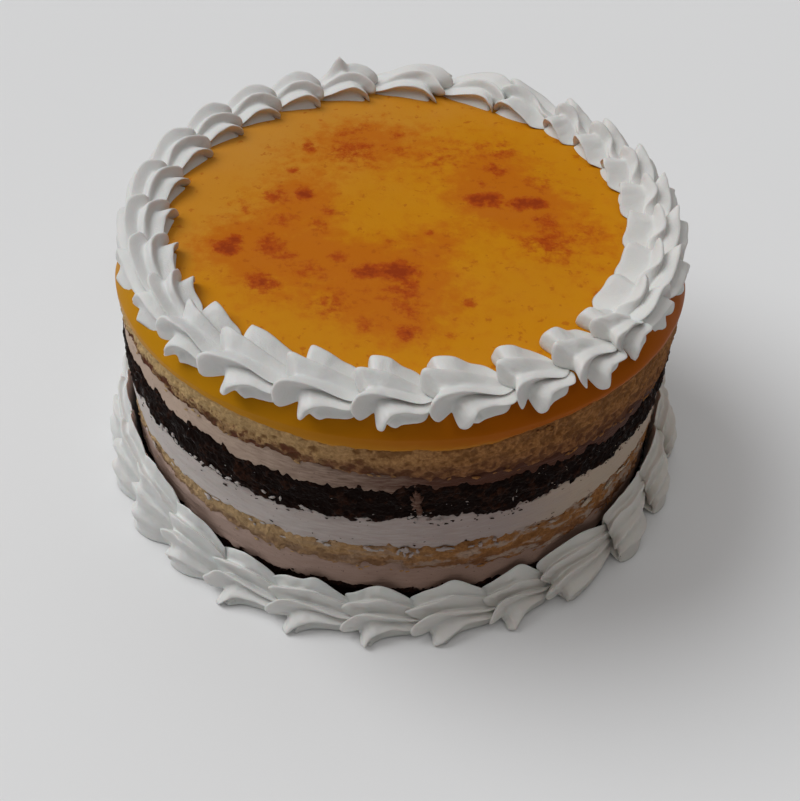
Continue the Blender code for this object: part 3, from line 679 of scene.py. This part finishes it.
PALE_BITS = ((27.3, 77.6, 2.0, 1.4, 1.1), (28.3, 76.4, 1.5, 1.6, 1.0), (25.4, 77.4, 1.2, 0.8, 0.8))
lumps = lumps_at(PALE_BITS, rng)
lumps += strewn(COCOA_UPPER_TOP, 160, 0.0008, 0.0012, (0.0004, 0.0009), rng)
lumps += strewn(COCOA_LOWER_TOP, 120, 0.0008, 0.0010, (0.0004, 0.0009), rng)
pale_bits = joined("loose_pale_crumbs", lumps)
set_attribute(pale_bits, "up", np.ones(len(pale_bits.data.vertices)))
place_piece(pale_bits, VANILLA, "vanilla_sponge")


# Egg-yolk topping
# A thick slab of cooked egg-yolk custard, glossy and a little clear, with a rounded shoulder; its top is
# sugared and toasted with a torch.
SHOULDER_FROM = 0.0812        # above this height its side draws in
SHOULDER_IN = 0.0060          # by this much at its top
SHOULDER_CURVE = 1.25         # slowly at first: as this power of the share of the height
SHOULDER_ROWS = 26
WALL_ROWS = 34
YOLK_PROUD = 0.0002           # how far its side stands out of the stack's own radius
YOLK_COLUMNS = 640
YOLK_TOP_ROWS = 90
# Bulges of its side: depth, length, height and seed of each noise; then the dips of its top
YOLK_BULGES = ((0.00025, 0.020, 0.008, 41), (0.00010, 0.006, 0.003, 42))
BULGE_FADE = 0.002            # its side's bulges give way to its top's dips over this height
YOLK_DIPS = ((0.00022, 0.022, 20.0, 43), (0.00008, 0.007, 30.0, 44))  # depth, length, shift in lengths, seed
MARK_REACH = 1.35             # a mark's bell is this many times its reach across
BROAD_REACH, BROAD_MORE = 2.2, 0.03  # and the clouding round it this many times, and this much more
AMBER, LIGHT_AMBER = (0.55, 0.205, 0.003), (0.60, 0.245, 0.004)
# Painted reflection of the light: paler and greyer amber.
REFLECTED_LIGHT_AMBER = (0.52, 0.26, 0.070)
ORANGE_CLOUD = (0.50, 0.120, 0.003)
FLECK = (0.40, 0.078, 0.004)
TOASTED_RED, TOASTED_BROWN = (0.41, 0.060, 0.003), (0.27, 0.032, 0.003)
# Its side is painted yellow at -X, as lit, and deep orange at +X, as in shade.
SIDE_LEFT, SIDE_RIGHT = (0.53, 0.235, 0.005), (0.38, 0.090, 0.002)  # its side at -X and at +X
SIDE_LOW = (0.58, 0.28, 0.030)
# Toasted marks: x, y and reach in radii of the cake, and strength
TOASTED = (
    (-0.35, 0.45, 0.022, 0.80), (-0.18, 0.43, 0.060, 0.62), (-0.13, 0.47, 0.035, 0.50),
    (-0.17, 0.59, 0.028, 0.50), (-0.23, 0.55, 0.020, 0.45), (-0.01, 0.55, 0.032, 0.42),
    (0.00, 0.44, 0.040, 0.42), (0.17, 0.38, 0.060, 0.42), (0.27, 0.45, 0.070, 0.38),
    (0.38, 0.45, 0.036, 0.60), (0.35, 0.33, 0.030, 0.70), (0.31, 0.23, 0.030, 0.40),
    (0.28, 0.12, 0.028, 0.95), (0.33, 0.13, 0.028, 0.95), (0.43, 0.106, 0.028, 0.95),
    (0.49, 0.106, 0.026, 0.95), (0.51, 0.25, 0.050, 0.38), (0.51, 0.00, 0.045, 0.55),
    (0.52, -0.13, 0.065, 0.60), (0.62, -0.08, 0.050, 0.42), (0.60, -0.20, 0.060, 0.36),
    (-0.44, 0.11, 0.036, 0.60), (-0.34, 0.13, 0.022, 0.95), (-0.39, 0.28, 0.030, 0.45),
    (-0.25, 0.04, 0.022, 0.55), (-0.28, -0.06, 0.028, 0.60), (-0.40, -0.04, 0.036, 0.42),
    (-0.56, -0.16, 0.024, 0.90), (-0.58, -0.20, 0.030, 0.95), (-0.43, -0.19, 0.046, 0.68),
    (-0.38, -0.23, 0.030, 0.55), (-0.20, -0.24, 0.020, 0.70), (-0.44, -0.39, 0.036, 0.82),
    (-0.10, -0.31, 0.032, 0.92), (0.00, -0.31, 0.040, 0.98), (0.02, -0.40, 0.045, 0.66),
    (0.04, -0.50, 0.040, 0.56), (-0.29, -0.32, 0.050, 0.48), (-0.21, -0.49, 0.046, 0.56),
    (-0.09, -0.58, 0.030, 0.48), (0.04, -0.62, 0.024, 0.75), (0.24, -0.46, 0.022, 0.55),
    (0.38, -0.47, 0.022, 0.32), (0.17, -0.64, 0.020, 0.34), (0.11, -0.08, 0.014, 0.52),
    (0.17, -0.08, 0.014, 0.52), (0.17, -0.17, 0.014, 0.45), (0.00, -0.17, 0.032, 0.38),
    (0.08, -0.20, 0.026, 0.36), (-0.53, 0.02, 0.080, 0.26), (-0.04, 0.21, 0.040, 0.24),
    (-0.05, -0.45, 0.110, 0.26),
)


def custard_slab():
    """The slab as one closed surface: upright wall, shoulder that draws in, and rings of falling radius over
    its top. Attributes toast and broad are the marks' bells, the strongest at each point and their sum."""
    angle = math.tau * np.arange(YOLK_COLUMNS) / YOLK_COLUMNS
    low = face_height(VANILLA_UPPER_TOP, angle)
    wall_share = np.linspace(0.0, 1.0, WALL_ROWS)[:, None]
    wall_height = low - LAP + wall_share * (SHOULDER_FROM - low + LAP)
    past = np.clip(low - wall_height + LAP_FROM, 0.0, None)
    wall_radius = stack_radius(angle, wall_height) + YOLK_PROUD - LAP_SLOPE * past
    rise = np.linspace(0.0, 1.0, SHOULDER_ROWS)[1:, None] + 0.0 * angle
    bend_radius = stack_radius(angle, SHOULDER_FROM) + YOLK_PROUD - SHOULDER_IN * rise ** SHOULDER_CURVE
    bend_height = SHOULDER_FROM + rise * (YOLK_TOP[0] - SHOULDER_FROM)
    inward = np.linspace(1.0, 0.0, YOLK_TOP_ROWS, endpoint=False)[1:, None] + 0.0 * angle
    top_radius = bend_radius[-1] * inward
    top_height = np.full_like(top_radius, YOLK_TOP[0])
    radius = np.vstack([wall_radius + 0.0 * angle, bend_radius, top_radius])
    height = np.vstack([wall_height, bend_height, top_height])
    turned = angle + 0.0 * radius
    on_wall = np.clip((YOLK_TOP[0] - height) / BULGE_FADE, 0.0, 1.0)
    radius = radius + side_bumps(turned, height, YOLK_BULGES) * on_wall
    spread = spread_at(height)
    x, y = spread + radius * np.sin(turned), -radius * np.cos(turned)
    dip = sum(depth * noise(x / length + shift, y / length + shift, LATTICE, seed)
              for depth, length, shift, seed in YOLK_DIPS)
    height = height + dip * (1.0 - on_wall)
    rings = np.stack([x, y, height], axis=-1)
    end = rings[0].copy()
    end[:, :2] *= CORE_RADIUS / CAKE_RADIUS
    rings = np.concatenate([end[None], rings])
    toast = np.zeros(rings.shape[:2])
    broad = np.zeros(rings.shape[:2])
    for mark_x, mark_y, reach, strength in TOASTED:
        away = np.hypot(rings[..., 0] / CAKE_RADIUS - mark_x, rings[..., 1] / CAKE_RADIUS - mark_y)
        toast = np.maximum(toast, strength * np.exp(-0.5 * (away / (MARK_REACH * reach)) ** 2))
        broad = broad + strength * np.exp(-0.5 * (away / (BROAD_REACH * reach + BROAD_MORE)) ** 2)
    obj = mesh_object("toasted_custard", *closed_rings(rings))
    for label, values in (("toast", toast), ("broad", broad)):
        set_attribute(obj, label, np.append(values.ravel(), [0.0, values[-1].mean()]))
    return obj


def custard_material():
    """Amber custard: painted paler towards the back and -X as a reflection of the light, clouded with orange,
    with ragged red-brown marks and small flecks where the torch caught it. Its side is painted yellow as lit
    towards -X and orange as shaded in front and towards +X."""
    material, shader, place = new_material("yolk_custard", {
        "Subsurface Weight": 0.06, "Subsurface Radius": (1.0, 0.45, 0.08), "Subsurface Scale": 0.004,
        "Specular IOR Level": 0.05, "Coat Roughness": 0.20})
    toast, broad = place.attribute("toast"), place.attribute("broad")
    mottle = place.noise(0.0044, 5.0, 0.62)
    fine = place.noise(0.0016, 4.0, 0.65)
    cloud = place.noise(0.030, 3.0, 0.5)
    across, back, height = place.along("X"), place.along("Y"), place.along("Z")
    colour = cloud.mixed(AMBER, LIGHT_AMBER)
    # Painted reflection: paler towards the back and -X.
    hazy = (back * 6.0 - across * 6.0 + cloud * 0.6 - 0.25).ramp(0.0, 1.0)
    colour = (hazy * 0.55).mixed(colour, REFLECTED_LIGHT_AMBER)
    haze = (broad * 0.55 + (mottle - 0.5) * 1.9 + (cloud - 0.5) * 0.6 - 0.12).ramp(0.05, 0.95)
    colour = (haze * 0.80).mixed(colour, ORANGE_CLOUD)
    fleck = place.noise(0.0034, 3.0, 0.6).ramp(0.60, 0.70)
    colour = (fleck * 0.55).mixed(colour, FLECK)
    mark = (toast * 1.30 + (mottle - 0.5) * 1.7 + (fine - 0.5) * 0.9 - 0.36).ramp(0.0, 0.55)
    colour = (mark * 0.90).mixed(colour, TOASTED_RED)
    core = (toast * 1.15 + (fine - 0.5) * 1.4 + (mottle - 0.5) * 1.1 - 0.66).ramp(0.0, 0.45)
    colour = (core * 0.85).mixed(colour, TOASTED_BROWN)
    side = 1.0 - height.ramp(0.0872, 0.0890)
    # Painted light and shade on the side: yellow towards -X, orange towards +X.
    wall = (across * 9.0 + 0.60).ramp(0.0, 1.0).mixed(SIDE_LEFT, SIDE_RIGHT)
    edge = 1.0 - (height + (mottle - 0.5) * 0.002).ramp(0.0768, 0.0800)
    wall = (edge * 0.35).mixed(wall, SIDE_LOW)
    colour = side.mixed(colour, wall)
    coat = (1.0 - side) * 0.10
    coat.tree.links.new(coat.link, shader.inputs["Coat Weight"])
    roughness = 0.34 + fine * 0.10 + mark * 0.15
    connect(shader, colour, roughness, cloud * 0.5 + fine * 0.12 + mark * 0.15, 0.0005)
    return material


custard = custard_slab()
place_piece(custard, custard_material(), "yolk_custard", "egg_yolk_topping")


# Piped shell border on the top edge
# Whipped cream from a star nozzle. Each shell is pressed out into a head whose ridges fan out and, at the
# front, fold over the cake's edge; it is drawn along into a thin tail, and the next head covers that tail.
SHELL_ROWS = 40
SHELL_COLUMNS = 88
UNDER_COLUMNS = 10
RIDGE_ROUND = 0.12            # rounding of a ridge's crest, as a share
TOP_UNEVEN = (0.02, 0.30, 0.30)  # random shift of a ridge's places: share of the pitch, mm out and up
CALM = 0.3                    # share of that at both ends, and on the two ridges nearest the cake
TOP_GRAIN = 0.13              # depth of the cream's roughness in mm
GRAIN_ROWS, GRAIN_COLUMNS = 2.2, 2.6
GRAIN_FADE = 300.0            # it fades towards both edges of the shell's upper side
TOP_SEED = 60                 # of the first shell's grain
PATH_FROM, PATH_TO = 0.012, 0.985
CREAM_WHITE, CREAM_LIGHT = (0.695, 0.692, 0.672), (0.745, 0.743, 0.725)
# Painted warm light reflected into the cream's shade towards +X.
CREAM_WARM_BOUNCE = (0.66, 0.57, 0.47)

# Six ridges of a shell, from the inner side over the top to the outer side. Each runs through eight places
# from the foot of the head to the end of the tail: share of the pitch, distance from the axis, height in mm.
FRONT_RIDGES = np.array([
    ((.30, 80, 88.2), (.20, 73.5, 88.2), (.20, 72.5, 88.3), (.26, 71.8, 88.4),
     (.42, 71.5, 88.5), (.66, 72.5, 88.3), (.98, 73.5, 88.2), (1.22, 80, 88.6)),
    ((.30, 80, 88.6), (.15, 72.6, 89.4), (.165, 72, 92.6), (.25, 72.5, 94.6),
     (.50, 72.8, 94.4), (.74, 73.4, 92), (1.02, 74, 89.9), (1.24, 81, 89)),
    ((.30, 82, 89), (.06, 81.5, 90), (-.01, 80.6, 94.2), (.05, 80.2, 97.2),
     (.26, 80.2, 96.6), (.55, 80, 95.2), (.98, 80, 91.2), (1.25, 82, 89.4)),
    ((.32, 85, 89.2), (.18, 92.9, 89.4), (.065, 92.8, 93.2), (.12, 91, 95.8),
     (.32, 89.2, 96.2), (.58, 88.2, 94.6), (1.00, 87.8, 91.4), (1.25, 84, 89.6)),
    ((.44, 87, 88.2), (.42, 93.2, 87.3), (.49, 94.6, 87.9), (.55, 94.4, 90.6),
     (.64, 93, 92), (.80, 91.8, 92), (1.05, 90.8, 90.9), (1.24, 86, 89.2)),
    ((.50, 86, 86.2), (.58, 89.4, 85.2), (.64, 90.4, 85.2), (.68, 90.8, 85.8),
     (.75, 90.2, 86.2), (.86, 89.6, 86), (1.05, 88.6, 86), (1.22, 84, 87.4)),
])
FRONT_CORE = np.array(((.36, 83, 88.8), (.42, 84, 89.4), (.44, 84, 90.4), (.46, 84, 91.2),
                       (.54, 83.6, 91.2), (.72, 83, 90.6), (1.03, 82.5, 89.6), (1.22, 82, 89)))
FRONT_VALLEYS = np.array((.30, .42, .44, .46, .18))   # depth of the groove after each ridge, as a share
SIDE_RIDGES = np.array([
    ((.40, 78, 88.2), (.24, 73, 88.2), (.20, 71.4, 88.3), (.26, 71.2, 88.4),
     (.42, 72, 88.5), (.64, 73, 88.4), (.98, 74.5, 88.4), (1.22, 79, 88.6)),
    ((.40, 78, 88.6), (.20, 72.4, 88.8), (.15, 70.4, 90), (.20, 70.6, 92.4),
     (.38, 72, 94.2), (.62, 73.4, 93.2), (1.00, 75, 90.8), (1.24, 80, 89.4)),
    ((.40, 79, 89), (.10, 75, 89.6), (.02, 73, 91.4), (.05, 74, 94.6),
     (.28, 77.6, 96.8), (.58, 79.6, 96), (.98, 80, 91.8), (1.25, 81, 89.8)),
    ((.40, 81, 89.2), (.06, 81, 89.6), (-.06, 80, 92), (-.01, 81, 95.2),
     (.24, 84.2, 97.2), (.56, 85.4, 96), (1.00, 84.8, 91.4), (1.25, 83, 89.8)),
    ((.42, 83, 88.6), (.10, 87.4, 88), (.00, 88, 89.2), (.03, 87.6, 91.8),
     (.26, 87.6, 93.6), (.58, 87.2, 92.6), (1.04, 86.2, 90.4), (1.24, 83, 89.4)),
    ((.44, 84, 86.4), (.26, 87.8, 85), (.18, 89, 85), (.24, 89.2, 85.6),
     (.48, 88.4, 86.2), (.76, 87.4, 86.2), (1.05, 86.4, 86.4), (1.22, 83, 87.6)),
])
SIDE_CORE = np.array(((.36, 81, 88.8), (.42, 81, 89.4), (.44, 81, 90.4), (.48, 81, 91.2),
                      (.56, 81, 91.2), (.72, 80.6, 90.6), (1.03, 80.6, 89.6), (1.22, 81, 89)))
SIDE_VALLEYS = np.array((.25, .36, .34, .36, .15))
TURNED_RIDGES = np.array([
    ((.36, 78, 88.2), (.20, 73, 88.2), (.14, 71.6, 88.3), (.22, 71, 88.4),
     (.40, 70.2, 88.5), (.66, 69.6, 88.3), (.94, 69.6, 88.2), (1.24, 74, 88.6)),
    ((.36, 79, 88.6), (.16, 73.4, 89.2), (.12, 72.2, 91.6), (.22, 71.4, 94.2),
     (.42, 70.4, 94.6), (.68, 69.6, 92.6), (.96, 69.2, 90), (1.26, 74, 89.2)),
    ((.36, 80, 89), (.15, 80.4, 90.6), (.10, 80, 94), (.22, 79.8, 97),
     (.40, 81.2, 96.8), (.66, 81.4, 94.6), (.94, 77.4, 91.8), (1.28, 78, 90)),
    ((.38, 83, 89.2), (.15, 87, 90.2), (.08, 86.8, 93.4), (.18, 86.2, 96),
     (.38, 86, 95.4), (.66, 86.4, 93), (.97, 84.8, 91), (1.28, 82, 89.9)),
    ((.42, 84, 88.4), (.28, 88.4, 87.4), (.20, 89, 89.2), (.30, 88.8, 91.6),
     (.48, 88.6, 91.4), (.74, 88.2, 89.8), (.99, 86.6, 89.6), (1.24, 83, 89.4)),
    ((.44, 83, 86.8), (.44, 87, 85.4), (.40, 88.6, 85.2), (.46, 88.8, 85.8),
     (.60, 88.2, 86), (.80, 87.4, 86.2), (1.00, 85.4, 87.2), (1.22, 83, 88)),
])
TURNED_VALLEYS = np.array((.25, .44, .62, .30, .15))
TURNED_SHELLS = range(7, 15)  # these are piped the other way round the cake
HEADS_MEET = math.radians(4.8)  # how much longer the last of them is, to meet the next head
LOOSE_SHELL = 16              # the shell that closes the ring is the most uneven
LOOSE = 2.2                   # times TOP_UNEVEN
TOP_START = math.radians(-36.7)
TOP_WIDTHS = (14.9, 13.6, 12.5, 14.7, 12.2, 12.3, 10.0, 12.5, 14.0, 13.5, 12.0, 12.0, 12.5, 11.0, 11.3,
              17.0, 19.0, 14.5, 12.5, 13.0, 13.0, 14.5, 14.5, 14.0, 15.0, 12.0, 12.0)
HEAD_SHARE = 0.4              # the head's middle, as a share of the pitch
SIDE_FROM, SIDE_FULL = math.radians(38.0), math.radians(60.0)  # the front's ridges blend to the side's
BACK_SHIFT = 0.0022           # how much further out the shells sit at the back
OVERHANG_FROM, OVERHANG_FULL = 0.72, 0.92  # sine of the angle at which shells hang over the sides
OVERHANG = np.array((((0.4, 0.0),), ((1.2, -1.2),), ((1.2, -2.6),)))  # mm out and up, of the outer ridges
LIFT_AT = math.radians(197.0)  # one tail at the back was pulled up into a blunt peak
LIFT_HALF = math.radians(1.7)
LIFT_RADIUS, LIFT_WIDTH = 0.0865, 0.0034
LIFT_HEIGHT, LIFT_FROM, LIFT_FULL = 0.0040, 0.0935, 0.0960


def along_path(places, steps):
    """A smooth line through places, at steps from 0 to 1: between two places a cubic whose slope at each is
    the slope between that place's neighbours."""
    count = places.shape[-2]
    at = steps * (count - 1)
    first = np.clip(at.astype(int), 0, count - 2)
    part = (at - first)[:, None]
    before, here = places[..., np.maximum(first - 1, 0), :], places[..., first, :]
    beyond, after = places[..., first + 1, :], places[..., np.minimum(first + 2, count - 1), :]
    return 0.5 * (2.0 * here + (beyond - before) * part
                  + (2.0 * before - 5.0 * here + 4.0 * beyond - after) * part ** 2
                  + (3.0 * here - before - 3.0 * beyond + after) * part ** 3)


def shell_surface(ridges, core, valleys, grain_depth, seed):
    """One shell as rings of (share of the pitch, distance from the axis, height).

    Each ridge is a smooth line. Between two ridges the surface is the straight line from one to the other,
    drawn in towards the core by the groove's depth times a rounded sine, and under the shell the last ridge
    closes back to the first. A fine grain of noise roughens it.
    """
    steps = np.linspace(PATH_FROM, PATH_TO, SHELL_ROWS)
    lines, middle = along_path(ridges, steps), along_path(core, steps)
    place = np.linspace(0.0, len(ridges) - 1.0, SHELL_COLUMNS - UNDER_COLUMNS)
    first = np.clip(place.astype(int), 0, len(ridges) - 2)
    part = (place - first)[:, None, None]
    sharp = np.sqrt(np.sin(math.pi * part) ** 2 + RIDGE_ROUND) - math.sqrt(RIDGE_ROUND)
    depth = valleys[first][:, None, None] * sharp / (math.sqrt(1.0 + RIDGE_ROUND) - math.sqrt(RIDGE_ROUND))
    straight = lines[first] * (1.0 - part) + lines[first + 1] * part
    upper = straight + (middle - straight) * depth
    back = np.linspace(0.0, 1.0, UNDER_COLUMNS + 2)[1:-1, None, None]
    rings = np.concatenate([upper, lines[-1] * (1.0 - back) + lines[0] * back]).transpose(1, 0, 2)
    row, column = np.meshgrid(np.arange(SHELL_ROWS), np.arange(SHELL_COLUMNS), indexing="ij")
    grain = noise(row / GRAIN_ROWS, column / GRAIN_COLUMNS, LATTICE, seed)
    grain = grain * np.clip(column * (SHELL_COLUMNS - UNDER_COLUMNS - column) / GRAIN_FADE, 0.0, 1.0)
    return rings + grain_depth * grain[..., None] * (0.0, 1.0, 1.0)


def uneven(rng, spread, ridges):
    """Random shifts of a shell's places, less at both ends of a ridge and on the first and last ridge."""
    shift = rng.uniform(-1.0, 1.0, ridges.shape) * spread
    shift[:, [0, -1]] *= CALM
    shift[[0, -1]] *= CALM
    return shift


def to_world(angle, radius, height, shift):
    """Cylindrical to Cartesian, angle from the front towards +X; shift moves the axis to +X."""
    return np.stack([shift + radius * np.sin(angle), -radius * np.cos(angle), height], axis=-1)


def top_shell(index, start, width, rng):
    """Rings of one shell on the top edge. Its ridges blend from the front's to the side's with the angle from
    the front; a turned shell is the mirror image along the ring."""
    away = from_front(start + HEAD_SHARE * width)
    share = share_of_way(away, SIDE_FROM, SIDE_FULL)
    share = share * share * (3.0 - 2.0 * share)
    width += HEADS_MEET if index == TURNED_SHELLS[-1] else 0.0
    side_ridges, side_valleys = SIDE_RIDGES, SIDE_VALLEYS
    if index in TURNED_SHELLS:
        share, side_ridges, side_valleys = 1.0, TURNED_RIDGES, TURNED_VALLEYS
    ridges = FRONT_RIDGES * (1.0 - share) + side_ridges * share
    sideways = abs(math.sin(start + HEAD_SHARE * width))
    ridges[3:, 1:-1, 1:] += OVERHANG * share_of_way(sideways, OVERHANG_FROM, OVERHANG_FULL)
    spread = np.array(TOP_UNEVEN) * (LOOSE if index == LOOSE_SHELL else 1.0)
    core = FRONT_CORE * (1.0 - share) + SIDE_CORE * share
    valleys = FRONT_VALLEYS * (1.0 - share) + side_valleys * share
    ridges = ridges + uneven(rng, spread, ridges)
    rings = shell_surface(ridges, core, valleys, TOP_GRAIN, TOP_SEED + index)
    along = rings[..., 0]
    if index in TURNED_SHELLS:
        rings = rings[:, ::-1]
        along = 1.0 - rings[..., 0]
    angle = start + along * width
    radius = rings[..., 1] * MM + BACK_SHIFT * max(-math.cos(away), 0.0)
    height = rings[..., 2] * MM
    near = np.exp(-((angle - LIFT_AT) / LIFT_HALF) ** 4 - ((radius - LIFT_RADIUS) / LIFT_WIDTH) ** 4)
    height = height + LIFT_HEIGHT * near * share_of_way(height, LIFT_FROM, LIFT_FULL)
    return to_world(angle, radius, height, TOP_SPREAD)


def ring_of_shells(shell, start, widths, rng):
    """Shells one after another round the cake from an angle on, each as wide as its own number of degrees."""
    shells = []
    for index, width in enumerate(np.radians(widths)):
        shells.append(shell(index, start, width, rng))
        start += width
    return shells


def piped_cream_material(name, bounce_warmth):
    """White whipped cream: satin, with the finest grain of air bubbles and faint drag lines; by bounce_warmth
    it is painted warmer towards +X, as warm light reflected into its shade."""
    material, shader, place = new_material(name, {
        "Subsurface Weight": 0.12, "Subsurface Scale": 0.003, "Specular IOR Level": 0.35})
    tone = place.noise(0.012, 3.0)
    colour = tone.mixed(CREAM_WHITE, CREAM_LIGHT)
    # Painted warm bounce light, growing towards +X.
    colour = (place.along("X").ramp(-0.06, 0.09) * bounce_warmth).mixed(colour, CREAM_WARM_BOUNCE)
    grain = place.noise(0.0005, 3.0, 0.6)
    relief = grain * 0.5 + place.noise(0.0022, 3.0) * 0.5
    connect(shader, colour, 0.42 + tone * 0.16, relief, 0.00022)
    return material


rng = np.random.default_rng(27)
top_border = joined("top_shell_border", ring_of_shells(top_shell, TOP_START, TOP_WIDTHS, rng))
place_piece(top_border, piped_cream_material("piped_cream_top", 0.10), "whipped_cream", "top_border")


# Piped shell border round the foot
# The same cream and nozzle, piped into the corner between the cake and what it stands on. Each shell lies
# against the side with a peak, and its outer ridges run down to the floor in points, or in lobes at the
# sides. The places of its ridges are given as those of the top are.
FOOT_INNER = ((.35, 91, 2), (.10, 90.6, 4), (.02, 90.3, 6), (.16, 90.2, 6),
              (.42, 90.2, 6), (.66, 90.2, 6), (1.02, 90.2, 5), (1.22, 91, 3))
FOOT_RIDGES = np.array([
    FOOT_INNER,
    ((.35, 92, 4), (.06, 91.2, 9), (-.04, 90.8, 12), (.14, 91.2, 15.4),
     (.38, 91.4, 17.6), (.60, 91.6, 20), (.86, 91.2, 15), (1.18, 91.6, 9)),
    ((.35, 93, 4), (.04, 93.4, 7), (-.06, 93.6, 9.6), (.06, 94.2, 12.4),
     (.32, 94.4, 13.8), (.58, 93.8, 13.8), (.98, 93, 10.4), (1.22, 93, 7)),
    ((.35, 95, 2), (.04, 97.8, 2.2), (-.03, 98.6, 4.8), (.04, 98, 8.4),
     (.22, 97, 11), (.56, 96.2, 9.8), (1.00, 95.4, 6.8), (1.22, 94, 5)),
    ((.38, 95, 0.6), (.27, 99.8, 0.5), (.35, 101.4, 1), (.42, 100.4, 3),
     (.56, 98.6, 4.6), (.76, 97.4, 5), (1.04, 96.6, 3.8), (1.22, 94, 2)),
    ((.40, 94, 0.1), (.32, 98.6, 0.1), (.42, 100, 0.1), (.48, 98.8, 0.1),
     (.60, 97, 0.1), (.78, 96, 0.1), (1.04, 95.4, 0.1), (1.22, 93, 0.1)),
])
FOOT_SIDE_RIDGES = np.array([
    FOOT_INNER,
    ((.35, 92, 8), (.06, 91.8, 15), (-.02, 91.6, 20.4), (.12, 92.4, 23.4),
     (.36, 92.6, 25), (.62, 92.4, 24), (.92, 92, 21), (1.20, 91.8, 16)),
    ((.35, 93, 6), (.04, 94.4, 12), (-.04, 95, 17), (.08, 96, 20.6),
     (.32, 96.6, 22), (.58, 96, 20.6), (.92, 94.8, 17.4), (1.22, 93.4, 12.5)),
    ((.35, 95, 2), (.06, 97.2, 5), (.00, 98.2, 10.4), (.08, 99, 14.2),
     (.30, 99.6, 15.8), (.58, 98.4, 14.2), (.90, 95.8, 11.2), (1.20, 93.8, 7.6)),
    ((.36, 95, 0.6), (.16, 98.4, 1.2), (.04, 99.2, 4), (.12, 100.8, 7),
     (.34, 101.8, 8.2), (.62, 100.2, 6.8), (.90, 96.4, 4.4), (1.20, 93.4, 2.4)),
    ((.38, 94, 0.1), (.22, 97.6, 0.1), (.10, 98.8, 0.1), (.16, 100.6, 0.1),
     (.36, 101.4, 0.1), (.62, 99.8, 0.1), (.90, 95.8, 0.1), (1.20, 92.6, 0.1)),
])
FOOT_CORE = np.array(((.38, 92, 1), (.40, 92, 2), (.42, 92, 3), (.44, 92, 4),
                      (.52, 92, 4.4), (.70, 92, 4), (1.03, 92, 3), (1.22, 92, 1.6)))
FOOT_VALLEYS = np.array((.10, .22, .46, .44, .20))
FOOT_SIDE_VALLEYS = np.array((.05, .12, .18, .16, .08))
FOOT_START = math.radians(-36.0)
FOOT_WIDTHS = (13.7, 14.2, 12.5, 14.6, 12.0, 17.5, 14.5, 16.0, 16.0, 13.0, 12.5, 13.0, 12.5, 13.0, 12.5,
               12.5, 13.0, 12.5, 13.0, 12.0, 12.5, 13.0, 13.5, 13.0, 13.0, 12.5, 12.0)
FOOT_UNEVEN = (0.03, 0.45, 0.45)
FOOT_TALLER = np.array((0.0, 5.0, 4.0, 2.0, 0.0, 0.0))  # mm; how much taller each ridge is at -X
LOBES_FROM, LOBES_FULL = 0.50, 0.78  # sine of the angle at which points turn to lobes
FOOT_LOWEST = 0.05            # mm
FOOT_GRAIN = 0.26
FOOT_SEED = 90


def foot_shell(index, start, width, rng):
    """Rings of one shell round the foot, pressed flat on what it stands on."""
    share = share_of_way(abs(math.sin(start + HEAD_SHARE * width)), LOBES_FROM, LOBES_FULL)
    ridges = FOOT_RIDGES * (1.0 - share) + FOOT_SIDE_RIDGES * share
    ridges[..., 2] += (FOOT_TALLER * share * max(-math.sin(start), 0.0))[:, None]
    valleys = FOOT_VALLEYS * (1.0 - share) + FOOT_SIDE_VALLEYS * share
    ridges = ridges + uneven(rng, FOOT_UNEVEN, ridges)
    rings = shell_surface(ridges, FOOT_CORE, valleys, FOOT_GRAIN, FOOT_SEED + index)
    height = np.maximum(rings[..., 2], FOOT_LOWEST) * MM
    return to_world(start + rings[..., 0] * width, rings[..., 1] * MM, height, 0.0)


foot_border = joined("foot_shell_border", ring_of_shells(foot_shell, FOOT_START, FOOT_WIDTHS, rng))
place_piece(foot_border, piped_cream_material("piped_cream_foot", 0.4), "whipped_cream", "bottom_border")
